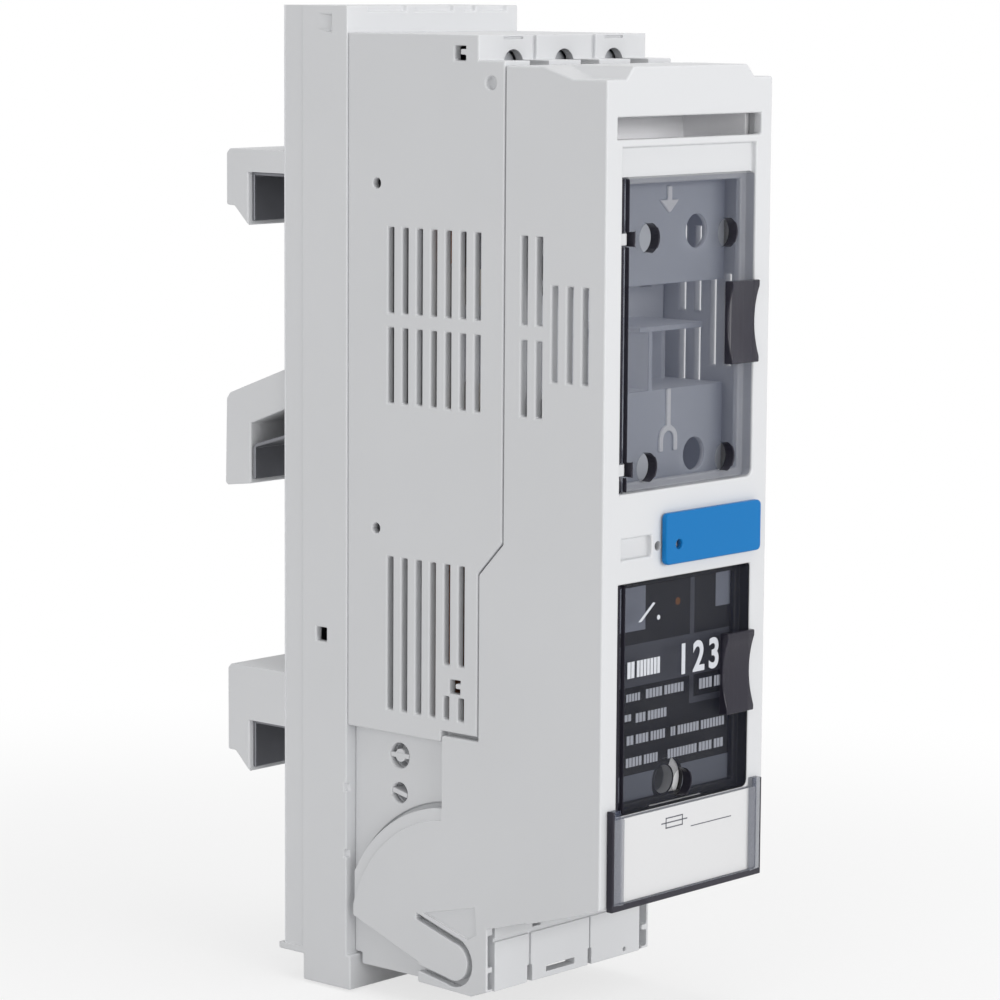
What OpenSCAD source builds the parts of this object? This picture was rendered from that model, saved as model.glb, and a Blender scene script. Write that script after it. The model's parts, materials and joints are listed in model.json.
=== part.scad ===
// Three-pole fuse switch on a busbar adapter.
// X runs across the unit, +Y points to the busbars behind it and +Z is up.
// The origin is on the adapter base's back face, half way across it.

/* [Overall] */
// Width of the adapter base
unit_w = 54; // [54:0.5:60]
// Step from the base's side in to the housing and the lid
side_inset = 0.3; // [0.1:0.1:0.8]
// Distance from the base's back face to the front of the lid
lid_front = 89.5; // [88:0.5:96]
// Seam between the closed lid and the housing
seam = 0.35; // [0.3:0.05:0.6]
// Clearance around a piece that moves
move_gap = 0.3; // [0.3:0.05:0.5]
// Clearance between pieces that are fixed to each other
fit_gap = 0.15; // [0.05:0.05:0.3]

/* [Busbars] */
// Distance between the centres of neighbouring bars
bar_pitch = 60; // [58:1:62]
// Depth of the slot that takes a bar
bar_slot = 11; // [10.6:0.1:12]
// Height of the middle bar's top edge over the origin
bar_top = 9.2; // [8:0.2:10.4]

/* [Adapter base] */
// Height of the base
base_h = 211.2; // [209:0.2:216]
// Height of the base's top edge over the origin
base_top = 105; // [104:0.5:107]
// Depth of the base
base_d = 18.5; // [17.5:0.5:20]
// Wall of the base
base_wall = 2; // [1.6:0.1:2.4]
// How far the front foot reaches below the tray
foot_drop = 5.7; // [4:0.1:7]
// Thickness of a hook's hanging limb
hook_t = 6.5; // [5:0.5:8]
// Thickness of the upper hook's roof
hook_roof = 4.9; // [4:0.1:6]
// Thickness of the lower hook's roof
low_roof = 12; // [10:0.5:14]
// How far a hook's lip hangs below the bar's top edge
lip_drop = 11.6; // [10:0.2:13]

/* [Latch hook] */
// Travel of the latch hook
latch_travel = 4.5; // [3:0.5:5]
// Wire of the latch springs
spring_wire = 0.8; // [0.6:0.1:1]
// Outer diameter of the latch springs
spring_d = 5; // [4:0.5:5.5]
// Turns of a latch spring
spring_turns = 5; // [4:1:6]

/* [Housing] */
// Wall of the housing
case_wall = 2; // [1.6:0.1:2.2]
// Height of the housing's top over the origin
case_top = 99.4; // [98.6:0.2:100.4]
// Height of the ledge above the lid
ledge_z = 94.3; // [94.1:0.1:94.6]
// Depth of the screw face behind the lid's front
screw_face_in = 34.2; // [33:0.2:35]
// Width of a vent slot
vent_w = 1.6; // [1:0.1:2]
// Distance from one vent slot to the next
vent_pitch = 4.05; // [3.8:0.05:4.2]

/* [Poles] */
// Distance between neighbouring poles
pole_pitch = 16; // [15.6:0.1:16.2]
// Diameter of a fuse link's caps
link_d = 14.3; // [14:0.1:14.4]
// Length of a fuse link
link_l = 51; // [49:0.5:53]
// Length of a cap
cap_l = 10; // [9:0.5:11]
// Diameter of the ceramic tube
tube_d = 13.4; // [13:0.1:13.6]
// Depth of the fuse links' axes behind the lid's front
link_in = 37.5; // [37:0.1:38]
// Height of the fuse links' middle over the origin
link_z = 36; // [35:0.5:37]
// Thickness of the copper strips
strip_t = 2; // [1.5:0.1:2.2]
// Width of the strips that carry the cradles
cradle_w = 10; // [8:0.5:10]
// Width of the strips from the busbar contacts
line_w = 8; // [6:0.5:9]

/* [Lid] */
// Wall of the lid's sides
lid_wall = 2.2; // [2:0.1:2.6]
// Wall of the lid's front
front_t = 2.2; // [2:0.1:2.6]
// Height of the lid's front top edge over the origin
lid_top = 91.1; // [90.6:0.1:91.6]
// Height of the lid's front bottom edge over the origin
lid_bot = -77; // [-78:0.5:-76]
// Depth of the lid's side walls
lid_side_d = 26.8; // [26:0.2:27.6]
// Height of the hinge over the origin
hinge_z = -94.6; // [-95:0.2:-94.2]
// Depth of the hinge behind the lid's front
hinge_in = 40.2; // [39.6:0.2:40.6]
// Radius of the cheeks around the hinge
cheek_r = 32.6; // [32:0.1:33.2]
// Radius of the hinge trunnions
pin_r = 3; // [2.5:0.1:3.3]
// Radial play of a pin in its bore
pin_play = 0.05; // [0.02:0.01:0.09]
// Raised height of the grip crest
crest_h = 2.6; // [1.5:0.1:3.5]
// Height of the grip slot
grip_h = 4.4; // [4.2:0.1:5]
// Depth of the grip slot
grip_d = 18; // [14:0.5:20]

/* [Windows] */
// Width of the window openings
win_w = 43.2; // [41:0.2:44]
// Top of the upper window
win_a_top = 71.6; // [70:0.2:72]
// Bottom of the upper window
win_a_bot = 7.9; // [7.6:0.1:9]
// Top of the lower window
win_b_top = -10.6; // [-12:0.2:-10.4]
// Bottom of the lower window
win_b_bot = -58.4; // [-58.8:0.1:-57.5]
// Thickness of a pane
pane_t = 2.4; // [2:0.1:2.6]
// How far a pane lies behind the lid's front
pane_in = 0.3; // [0.2:0.1:0.6]
// Radius of the test holes
test_r = 3.1; // [3:0.1:3.6]
// Height of a finger pull
pull_h = 17.2; // [14:0.2:20]
// Width of a finger pull
pull_w = 9.1; // [7:0.1:10]
// How far a finger pull stands proud of the lid
pull_proud = 1.7; // [1.2:0.1:2]

/* [Seal slide and label] */
// Width of the seal slide
slide_w = 31.4; // [28:0.2:33]
// Height of the seal slide
slide_h = 10.7; // [9:0.1:12]
// Thickness of the seal slide
slide_t = 1.4; // [1.2:0.1:2]
// Travel of the seal slide
slide_travel = 5; // [4:0.5:6]
// Radius of the seal wire's holes
seal_r = 1; // [0.8:0.1:1.2]
// Width of the label holder
holder_w = 49.2; // [47:0.2:51.6]
// Height of the label holder
holder_h = 19.2; // [18:0.2:21]
// How far the label holder stands proud of the lid
holder_t = 1.6; // [1.4:0.1:2.4]

/* [Hidden] */
$fn = 48;

// How far a cut runs past the face that it opens
cut = 1;

// Colours
case_grey = [0.80, 0.80, 0.81];
base_grey = [0.82, 0.82, 0.83];
inner_white = [0.86, 0.86, 0.87];
copper = [0.78, 0.50, 0.33];
tinned = [0.42, 0.43, 0.45];
steel = [0.62, 0.63, 0.65];
smoke = [0.30, 0.31, 0.36, 0.45];

// Half widths
half_w = unit_w / 2;
hw = half_w - side_inset;
lid_in = hw - lid_wall;
low_hw = lid_in - move_gap;
low_wall = 1.8;
low_in = low_hw - low_wall;
case_in = hw - case_wall;

// Depths, counted to the front as negative Y
front_y = -lid_front;
front_in = front_y + front_t;
lid_back = front_y + lid_side_d;
case_front = lid_back + seam;
screw_face = front_y + screw_face_in;
link_y = front_y + link_in;
hinge_y = front_y + hinge_in;
case_back = -base_d;
case_floor = case_back - case_wall;

// Heights
base_bot = base_top - base_h;
tray_bot = base_bot + foot_drop;
foot_top = tray_bot + base_wall;

// Lower part of the lid's rear edge, where it steps back under the knee
knee_top = -4.4;
knee_bot = -11.4;
low_back = lid_back + 6.6;
notch_y = lid_back + 16.7;
notch_z = -46.5;
notch_open = 0.9;
recess_top = -48;
cheek_back = case_back - 1.8;
cheek_front = hinge_y - 9.5;
case_low_front = low_back - 1;
case_low_end = -84.6;
case_bot = tray_bot - 0.1;

// Poles
POLES = [0, 1, 2];
function pole_x(i) = (i - 1) * pole_pitch;
function bar_z(i) = bar_top + (1 - i) * bar_pitch;

// Fuse links and cradles
link_r = link_d / 2;
tube_r = tube_d / 2;
tube_bore = 5;
cap_end = 1;
cradle_gap = move_gap;
cradle_t = 1;
cradle_angle = 55;
cradle_back = link_y + link_r + cradle_gap + cradle_t;
strip_front = cradle_back - 0.05;
deck_front = strip_front + strip_t;
deck_t = 2.6;
deck_back = deck_front + deck_t;
deck_top = case_top - 13.4;
deck_bot = -64;

// Clamps
clamp_w = 12.4;
line_clamp_z = ledge_z - 0.9;
line_clamp_h = 5.4;
load_clamp_z = -79;
load_clamp_h = 8;
clamp_screw_r = 2;
screw_head_r = 2.6;
screw_head_t = 2;
driver_r = 3;
clamp_nose = 7.5;
clamp_wall = 2.4;
cable_room = 8;

// Line strips in the base
line_back = -8;
line_front = line_back - strip_t;
run_top = line_clamp_z - line_clamp_h / 2 - 2;
run_bot = run_top - strip_t;

// Busbar contacts
contact_t = 0.8;
contact_w = unit_w - 2.4;

// Latch hook
latch_w = unit_w - 2;
neck_w = 40;
neck_bot = bar_top + 9.5;
neck_top = bar_top + 18.2;
latch_plate_t = 2.8;
latch_plate_back = -base_wall - 0.4;
latch_plate_front = latch_plate_back - latch_plate_t;
latch_plate_bot = bar_top - 15.2;
latch_plate_top = bar_top + 20.8;
spring_seat = latch_plate_top + 12;
spring_x = 10;
spring_y = latch_plate_back - spring_d / 2 - 0.1;

// Screws through the base into the housing, and through the deck
case_screw_x = pole_pitch / 2;
case_screw_zs = [60, -30];
deck_screw_zs = [80, -39];
deck_screw_x = pole_pitch / 2;
post_r = 3;
thread_r = 1.5;

// Screws on the side
side_screw_y = -31.5;
side_screw_zs = [-53.2, -61.3];
side_screw_rs = [2.6, 2.1];
side_core_rs = [1.4, 0];
bar_seat = 3;
screw_room = 0.1;

// Square catch hole low on the side
catch_y = -49.5;
catch_z = -35.8;

// Windows
win_hw = win_w / 2;
pane_front = front_y + pane_in;
pane_back = pane_front + pane_t;
barrel_r = 1.15;
axis_y = pane_back - 0.3;
axis_x = -win_hw + axis_y - pane_front + move_gap;
win_pin_r = 0.75;
win_pin_l = 2;
rim_t = 1.5;
rim_w = 1.6;
rim_front = pane_back + 0.1;
rim_back = rim_front + rim_t;
plate_t = 0.8;
plate_back = rim_back + plate_t;
test_x = 12.7;
test_zs = [59.2, 12.6];
low_test_z = win_b_bot + move_gap + test_r + 0.6;
probe_r = test_r - 0.1;
corner_r = 1.5;
lug_h = 2.4;
pull_dip = 1.3;
pull_end = 1.2;
pull_zs = [40.6, -33.1];

// Recessed panel over the upper window and the grip slot over it
panel_top = win_a_top + 6;
panel_in = 1.4;
grip_bot = panel_top + 1.6;
grip_top = grip_bot + grip_h;
grip_hw = lid_in - 1.3;
grip_wall = 1.2;
grip_clear = 0.5;

// Fuse carrier
carrier_hw = lid_in - 2.5;
carrier_wall = 1.3;
carrier_top = panel_top - 2.5;
grip_floor = carrier_top + grip_clear + grip_wall;
carrier_bot = win_a_bot - 4.5;
carrier_face = pane_back + 5.8;
carrier_gap = [27, 48.7];
relief = 0.6;
carrier_back = lid_back - 0.5;
prong_z = [link_z - 8, link_z + 8];
prong_back = link_y + 4;
barrier_t = 1.2;

// Seal slide
slide_x = 7.2;
slide_z = -2.4;
slide_corner = 1.2;
slide_back = front_y - move_gap;
slide_front = slide_back - slide_t;
slide_neck = [-3, 7];
seal_hole_x = slide_x - slide_w / 2 + 4.2;
seal_hole_z = slide_z - 1.3;

// Label holder
holder_top = win_b_bot;
holder_bot = holder_top - holder_h;
holder_back_t = 0.4;
holder_wall = 0.9;
card_t = 0.4;
flange_w = 3.9;
holder_lip = 1.4;
flange_t = 0.6;
ear_x = win_hw + move_gap;
ear_h = 1.8;

// Basic shapes

// A block between two limits on each axis
module block(x, y, z) {
    translate([x[0], y[0], z[0]]) cube([x[1] - x[0], y[1] - y[0], z[1] - z[0]]);
}

// An outline in Y and Z, run along X between two limits
module along_x(x, points) {
    translate([x[0], 0, 0]) rotate([90, 0, 90]) linear_extrude(x[1] - x[0]) polygon(points);
}

// An outline in X and Z, run along Y between two limits
module along_y(y, points) {
    translate([0, y[1], 0]) rotate([90, 0, 0]) linear_extrude(y[1] - y[0]) polygon(points);
}

module rod_x(r, x, y, z) {
    translate([x[0], y, z]) rotate([0, 90, 0]) cylinder(r = r, h = x[1] - x[0]);
}

module rod_y(r, x, y, z) {
    translate([x, y[1], z]) rotate([90, 0, 0]) cylinder(r = r, h = y[1] - y[0]);
}

module rod_z(r, x, y, z) {
    translate([x, y, z[0]]) cylinder(r = r, h = z[1] - z[0]);
}

// A plate along Y with its right lower corner rounded
module round_foot(x, y, z, r) {
    block(x, y, [z[0] + r, z[1]]);
    block([x[0], x[1] - r], y, [z[0], z[0] + 2 * r]);
    rod_y(r, x[1] - r, y, z[0] + r);
}

// A plate along Y with four round corners
module round_plate(x, y, z, r) {
    block([x[0] + r, x[1] - r], y, z);
    block(x, y, [z[0] + r, z[1] - r]);
    for (cx = [x[0] + r, x[1] - r], cz = [z[0] + r, z[1] - r]) rod_y(r, cx, y, cz);
}

// A pocket in both sides of a piece, by its half width
module side_pocket(half, depth, y, z) {
    for (s = [-1, 1])
        translate([s * half, (y[0] + y[1]) / 2, (z[0] + z[1]) / 2])
            cube([2 * depth, y[1] - y[0], z[1] - z[0]], center = true);
}

// A square hole through both sides, with a stop left standing in it
module catch_hole(half, y, z) {
    side = 3;
    difference() {
        side_pocket(half, case_wall + cut, [y - side / 2, y + side / 2], [z - side / 2, z + side / 2]);
        side_pocket(half, case_wall + 2 * cut, [y - side, y - 0.2], [z - 0.3, z + 0.8]);
    }
}

// A slotted screw along Y with its head to the front
module screw_y(x, z, head, tip, r, head_r) {
    difference() {
        union() {
            rod_y(head_r, x, [head, head + screw_head_t], z);
            rod_y(r, x, [head + screw_head_t - 0.1, tip], z);
        }
        block([x - head_r - cut, x + head_r + cut], [head - cut, head + 0.9], [z - 0.4, z + 0.4]);
    }
}

// A row of upright vent slots through both side walls
module vents(y_first, count, z, x) {
    for (i = [0 : count - 1], s = [-1, 1])
        translate([s * x, y_first - i * vent_pitch, (z[0] + z[1]) / 2])
            cube([2 * lid_wall + 2, vent_w, z[1] - z[0]], center = true);
}

// Adapter base

// The outline of a fixed hook over a bar whose top edge is at z
function hook_outline(z, roof) = [
    [-cut, z], [bar_slot, z], [bar_slot, z - lip_drop],
    [bar_slot + 4.4, z - lip_drop + 4.2], [bar_slot + hook_t, z - lip_drop + 4.2],
    [bar_slot + hook_t, z + roof - 1], [bar_slot + hook_t - 1, z + roof], [-cut, z + roof]
];

function tail_z(i) = i == 1 ? bar_z(1) + 4 : bar_z(i);

module base_posts() {
    for (s = [-1, 1], z = case_screw_zs)
        rod_y(post_r + 0.4, s * case_screw_x, [case_back, -base_wall / 2], z);
}

module adapter_base() {
    inner = half_w - base_wall;
    mouth = low_in - 0.4;
    dash_h = 1.25;
    dashes = [[-20.5, -8.6], [-6, 6.2], [9.8, 13.2], [15, 23.4]];
    nick_zs = [-61.6, -76.2];
    side_step = 0.25;
    color(base_grey) difference() {
        union() {
            difference() {
                union() {
                    block([-half_w, half_w], [case_back, 0], [tray_bot, base_top]);
                    block([-half_w, half_w], [case_back - 1.2, -5.5], [base_bot, foot_top]);
                    block([-half_w, half_w], [-cut, base_wall], [tray_bot, tray_bot + 1.6]);
                }
                block([-inner, inner], [case_back + base_wall, -base_wall],
                      [tray_bot + base_wall, base_top - base_wall]);
                block([-mouth, mouth], [case_back - cut, case_back + base_wall + cut],
                      [foot_top + cut, case_top - base_wall]);
            }
            base_posts();
            block([-inner - cut, inner + cut], [spring_y - 2.4, -base_wall / 2],
                  [spring_seat, spring_seat + base_wall]);
            along_x([-half_w, half_w], hook_outline(bar_z(0), hook_roof));
            along_x([-half_w, half_w], hook_outline(bar_z(2), low_roof));
        }
        for (s = [-1, 1], z = case_screw_zs) {
            rod_y(thread_r + fit_gap, s * case_screw_x, [case_back - cut, cut], z);
            rod_y(post_r - fit_gap, s * case_screw_x, [-screw_head_t - 1, cut], z);
        }
        for (i = POLES)
            block([pole_x(i) - line_w / 2 - fit_gap, pole_x(i) + line_w / 2 + fit_gap],
                  [-base_wall - cut, i == 1 ? cut : 0],
                  [tail_z(i) - contact_t - fit_gap, tail_z(i) + (i == 1 ? fit_gap : 0)]);
        block([-neck_w / 2 - move_gap, neck_w / 2 + move_gap], [-base_wall - cut, cut],
              [neck_bot - move_gap, neck_top + latch_travel + move_gap]);
        for (d = dashes) block(d, [case_back - cut, case_back + 1.2], [base_top - dash_h, base_top + cut]);
        side_pocket(half_w, base_wall + cut, [-12.5, -9.5], [-30.6, -27.6]);
        side_pocket(half_w, side_step, [-5.5, -0.05], [tray_bot + 1.6, base_top + cut]);
        for (z = nick_zs) side_pocket(half_w, 1.2, [case_back - cut, case_back + 0.8], [z - 0.8, z + 0.8]);
        // Ramped pocket near the top of each side
        for (m = [0, 1]) mirror([m, 0, 0]) translate([0, 0, base_top - 5.4]) linear_extrude(3.5)
            polygon([[half_w + cut, -9.9], [half_w, -9.9], [half_w - 1.4, -13.8], [half_w + cut, -13.8]]);
    }
}

// Latch hook

latch_outline = [
    [move_gap, neck_bot], [bar_slot + 0.4, bar_top + 5.4], [bar_slot + 0.4, bar_top - 7.8],
    [bar_slot + 7.6, bar_top - 8.7], [bar_slot + 8.2, bar_top - 8.2], [bar_slot + 7.8, bar_top + 10.4],
    [bar_slot + 6.8, bar_top + 11.7], [move_gap, neck_top]
];

module latch_hook() {
    color(base_grey) difference() {
        union() {
            along_x([-latch_w / 2, latch_w / 2], latch_outline);
            block([-neck_w / 2, neck_w / 2], [latch_plate_front, move_gap + 0.1], [neck_bot, neck_top]);
            block([-neck_w / 2, neck_w / 2], [latch_plate_front, latch_plate_back],
                  [latch_plate_bot, latch_plate_top]);
        }
        block([-line_w / 2 - 2 * move_gap, line_w / 2 + 2 * move_gap],
              [latch_plate_front - cut, latch_plate_back + cut],
              [tail_z(1) - contact_t - latch_travel - 2 * move_gap, tail_z(1) + 2 * move_gap]);
    }
}

// One tube of six sides wound along a helix, closed at both ends
module coil(r, wire_r, height, turns) {
    steps = 12;
    sides = 6;
    rings = steps * turns + 1;
    points = [
        for (i = [0 : rings - 1], k = [0 : sides - 1])
            let (a = 360 * i / steps, b = 360 * k / sides, q = r + wire_r * cos(b))
                [q * cos(a), q * sin(a), wire_r + (height - 2 * wire_r) * i / (rings - 1) + wire_r * sin(b)]
    ];
    walls = [
        for (i = [0 : rings - 2], k = [0 : sides - 1])
            let (p = i * sides, n = (k + 1) % sides)
                each [[p + k, p + sides + k, p + sides + n], [p + k, p + sides + n, p + n]]
    ];
    last = (rings - 1) * sides;
    ends = [for (k = [1 : sides - 2]) each [[0, k, k + 1], [last, last + k + 1, last + k]]];
    polyhedron(points = points, faces = concat(walls, ends));
}

module latch_springs() {
    play = 0.05;
    color(steel) for (s = [-1, 1])
        translate([s * spring_x, spring_y, latch_plate_top + play])
            coil((spring_d - spring_wire) / 2, spring_wire / 2, spring_seat - latch_plate_top - 2 * play,
                 spring_turns);
}

// Busbar contacts and line strips

function claw_outline(z) = [
    [0, z], [bar_slot, z], [bar_slot, z - lip_drop + 1],
    [bar_slot - contact_t, z - lip_drop + 1], [bar_slot - contact_t, z - contact_t], [0, z - contact_t]
];

// The middle claw leans with the latch hook's roof
function middle_claw_outline(z) = [
    [0.1, z + 4], [bar_slot - contact_t, z + 1], [bar_slot - 0.1, z], [bar_slot - 0.1, z - 6.8],
    [bar_slot - 0.1 - contact_t, z - 6.8], [bar_slot - 0.1 - contact_t, z + 0.2], [0.1, z + 4 - contact_t]
];

module busbar_contact(i) {
    points = i == 1 ? middle_claw_outline(bar_z(i)) : claw_outline(bar_z(i));
    color(tinned) union() {
        along_x([-contact_w / 2, contact_w / 2], points);
        block([pole_x(i) - line_w / 2, pole_x(i) + line_w / 2], [line_back, 0.2],
              [tail_z(i) - contact_t, tail_z(i)]);
    }
}

module line_strip(i) {
    foot = tail_z(i) - 6;
    top = line_clamp_z + line_clamp_h / 2;
    color(copper) along_x([pole_x(i) - line_w / 2, pole_x(i) + line_w / 2], [
        [line_back, foot], [line_back, run_top], [deck_front + strip_t, run_top],
        [deck_front + strip_t, top], [deck_front, top], [deck_front, run_bot],
        [line_front, run_bot], [line_front, foot]
    ]);
}

// Housing

case_outline = [
    [case_back, case_top], [screw_face, case_top], [screw_face, ledge_z], [case_front, ledge_z],
    [case_front, knee_top + 0.2], [low_back + seam, knee_bot + 0.2], [low_back + seam, notch_z + notch_open],
    [notch_y + 0.4, notch_z + notch_open], [notch_y + 0.4, recess_top], [case_back, recess_top]
];

case_foot_outline = [
    [case_back, recess_top + cut], [case_low_front, recess_top + cut + 2], [case_low_front, case_low_end],
    [case_low_front + 1.4, case_low_end], [case_low_front + 1.4, case_bot], [case_floor, case_bot],
    [case_floor, foot_top + 0.4], [case_back, foot_top + 0.4]
];

module case_cavity() {
    front_wall = case_front + case_wall;
    low_front_wall = low_back + seam + case_wall;
    block([-case_in, case_in], [front_wall, case_floor], [knee_top + case_wall, ledge_z - case_wall]);
    block([-case_in, case_in], [screw_face + case_wall, case_floor], [ledge_z - 4, case_top - case_wall]);
    block([-case_in, case_in], [low_front_wall, case_floor],
          [notch_z + notch_open + case_wall, knee_top + case_wall + cut]);
    block([-low_in, low_in], [case_low_front + low_wall, case_floor], [case_bot - cut, notch_z + 4]);
    block([-low_in, low_in], [case_low_front - cut, case_floor], [case_bot - cut, case_low_end]);
}

module case_posts() {
    for (s = [-1, 1], z = case_screw_zs) rod_y(post_r, s * case_screw_x, [case_floor - 9, case_back], z);
    for (s = [-1, 1], z = deck_screw_zs) rod_y(post_r, s * deck_screw_x, [deck_back, case_back], z);
}

module case_vents() {
    first = -30.9;
    vents(first, 7, [41.3, 59.3], hw);
    vents(first, 7, [22.4, 38.3], hw);
    vents(first, 4, [-43, -10.2], hw);
    vents(first - 4 * vent_pitch, 2, [-31.4, -10.2], hw);
    vents(first - 4 * vent_pitch, 2, [-43, -38], hw);
}

// A shadow groove in the housing's sides around the lid's cheeks
module cheek_groove() {
    depth = 0.9;
    intersection() {
        difference() {
            rod_x(cheek_r + 1, [-half_w, half_w], hinge_y, hinge_z);
            rod_x(cheek_r - 1, [-half_w - cut, half_w + cut], hinge_y, hinge_z);
        }
        side_pocket(low_hw, depth, [notch_y, cheek_back - 2], [hinge_z + 12, hinge_z + cheek_r + 2]);
    }
}

module housing() {
    groove_x = (pole_pitch + 2.8) / 2;
    color(case_grey) difference() {
        union() {
            difference() {
                union() {
                    along_x([-hw, hw], case_outline);
                    along_x([-low_hw, low_hw], case_foot_outline);
                }
                case_cavity();
            }
            case_posts();
            for (s = [-1, 1])
                rod_x(pin_r, [s * low_hw + min(0, s * (lid_wall - 0.5)) - (s < 0 ? 0 : 1),
                              s * low_hw + max(0, s * (lid_wall - 0.5)) + (s < 0 ? 1 : 0)], hinge_y, hinge_z);
        }
        // Mouth of the pole chambers
        block([-case_in + fit_gap, case_in - fit_gap], [case_front - cut, case_front + case_wall + cut],
              [link_z - link_l / 2 - 5, link_z + link_l / 2 + 5]);
        case_vents();
        for (s = [-1, 1], z = case_screw_zs)
            rod_y(thread_r, s * case_screw_x, [case_floor - 8, case_back + cut], z);
        for (s = [-1, 1], z = deck_screw_zs)
            rod_y(thread_r, s * deck_screw_x, [deck_back - cut, deck_back + 8], z);
        for (i = POLES) {
            rod_y(driver_r, pole_x(i), [case_front - cut, screw_face + case_wall + cut], line_clamp_z);
            rod_y(driver_r, pole_x(i), [case_low_front - cut, case_low_front + low_wall + cut], load_clamp_z);
            block([pole_x(i) - line_w / 2 - fit_gap, pole_x(i) + line_w / 2 + fit_gap],
                  [case_floor - cut, case_back + cut], [run_bot - fit_gap, run_top + fit_gap]);
        }
        // Grooves between the poles on the screw face, and marks over the outer holes
        for (s = [-1, 1])
            block([s * groove_x - 0.65, s * groove_x + 0.65], [screw_face - cut, screw_face + 1],
                  [ledge_z, case_top + cut]);
        for (s = [-1, 1])
            block([s * pole_pitch - driver_r, s * pole_pitch + driver_r],
                  [screw_face - cut, screw_face + 0.6], [case_top - 0.9, case_top - 0.4]);
        for (s = [-1, 1], k = [0, 1])
            rod_x(side_screw_rs[k] + screw_room, [s * low_hw - 3, s * low_hw + 3],
                  side_screw_y, side_screw_zs[k]);
        cheek_groove();
        // Small moulded holes and marks on the sides
        for (s = [-1, 1]) {
            rod_x(1.1, [s * hw - 3, s * hw + 3], -26.8, 68.3);
            rod_x(1.1, [s * hw - 3, s * hw + 3], -26.8, -4.5);
            rod_x(1.4, [s * hw - 1.5, s * hw + 1.5], -58.6, 89.8);
        }
        catch_hole(hw, -50.1, 95.7);
        catch_hole(hw, catch_y, catch_z);
    }
}

module housing_screws() {
    tip = case_floor - 7.5;
    color(steel) for (s = [-1, 1], z = case_screw_zs)
        mirror([0, 1, 0]) screw_y(s * case_screw_x, z, 0.8, -tip, thread_r, post_r - 2 * fit_gap);
}

// Contacts

module contact_deck() {
    low_half = low_in - fit_gap;
    step_z = notch_z + notch_open + case_wall + 0.4;
    color(inner_white) difference() {
        union() {
            block([-case_in + fit_gap, case_in - fit_gap], [deck_front, deck_back], [step_z, deck_top]);
            block([-low_half, low_half], [deck_front, deck_back], [deck_bot, step_z + cut]);
            for (s = [-1, 1])
                block([s * pole_pitch / 2 - barrier_t / 2, s * pole_pitch / 2 + barrier_t / 2],
                      [prong_back + 2.4, deck_front + 0.1],
                      [link_z - link_l / 2 - 4, link_z + link_l / 2 + 4]);
        }
        for (s = [-1, 1], z = deck_screw_zs)
            rod_y(thread_r, s * deck_screw_x, [deck_front - cut, deck_back + cut], z);
    }
}

module deck_screws() {
    color(steel) for (s = [-1, 1], z = deck_screw_zs)
        screw_y(s * deck_screw_x, z, deck_front - screw_head_t, deck_back + 7, thread_r, 2.2);
}

// A curved contact behind a link's cap, between two heights
module cradle(i, z) {
    outer = link_r + cradle_gap + cradle_t;
    inner = link_r + cradle_gap;
    reach = outer + cut;
    wide = reach * tan(cradle_angle);
    intersection() {
        difference() {
            rod_z(outer, pole_x(i), link_y, z);
            rod_z(inner, pole_x(i), link_y, [z[0] - cut, z[1] + cut]);
        }
        translate([pole_x(i), link_y, z[0] - cut]) linear_extrude(z[1] - z[0] + 2 * cut)
            polygon([[0, 0], [wide, reach], [-wide, reach]]);
    }
}

module cradle_strip(i, z) {
    block([pole_x(i) - cradle_w / 2, pole_x(i) + cradle_w / 2], [strip_front, deck_front], z);
}

module upper_cradle(i) {
    seat = [link_z + link_l / 2 - cap_l + 0.5, link_z + link_l / 2 - 0.5];
    color(copper) union() {
        cradle(i, seat);
        cradle_strip(i, [seat[0], line_clamp_z + line_clamp_h / 2]);
    }
}

module lower_cradle(i) {
    seat = [link_z - link_l / 2 + 0.5, link_z - link_l / 2 + cap_l - 0.5];
    color(copper) union() {
        cradle(i, seat);
        cradle_strip(i, [load_clamp_z - load_clamp_h / 2 - 3, seat[1]]);
    }
}

// Clamps

// A box clamp around the strips, with its screw hole in front
module clamp(i, z, h, room) {
    back = deck_front + room;
    nose = strip_front - clamp_nose;
    x = pole_x(i);
    color(steel) difference() {
        block([x - clamp_w / 2, x + clamp_w / 2], [nose, back + clamp_wall], [z - h / 2, z + h / 2]);
        block([x - cradle_w / 2 - 0.1, x + cradle_w / 2 + 0.1], [strip_front - 2.5, back],
              [z - h / 2 - cut, z + h / 2 + cut]);
        rod_y(clamp_screw_r, x, [nose - cut, strip_front], z);
    }
}

module line_clamp(i) {
    clamp(i, line_clamp_z, line_clamp_h, strip_t);
}

module load_clamp(i) {
    clamp(i, load_clamp_z, load_clamp_h, cable_room);
}

module clamp_screws(z) {
    head = strip_front - clamp_nose - screw_head_t;
    color(steel) for (i = POLES)
        screw_y(pole_x(i), z, head, strip_front, clamp_screw_r, screw_head_r);
}

module line_clamp_screws() {
    clamp_screws(line_clamp_z);
}

module load_clamp_screws() {
    clamp_screws(load_clamp_z);
}

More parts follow.
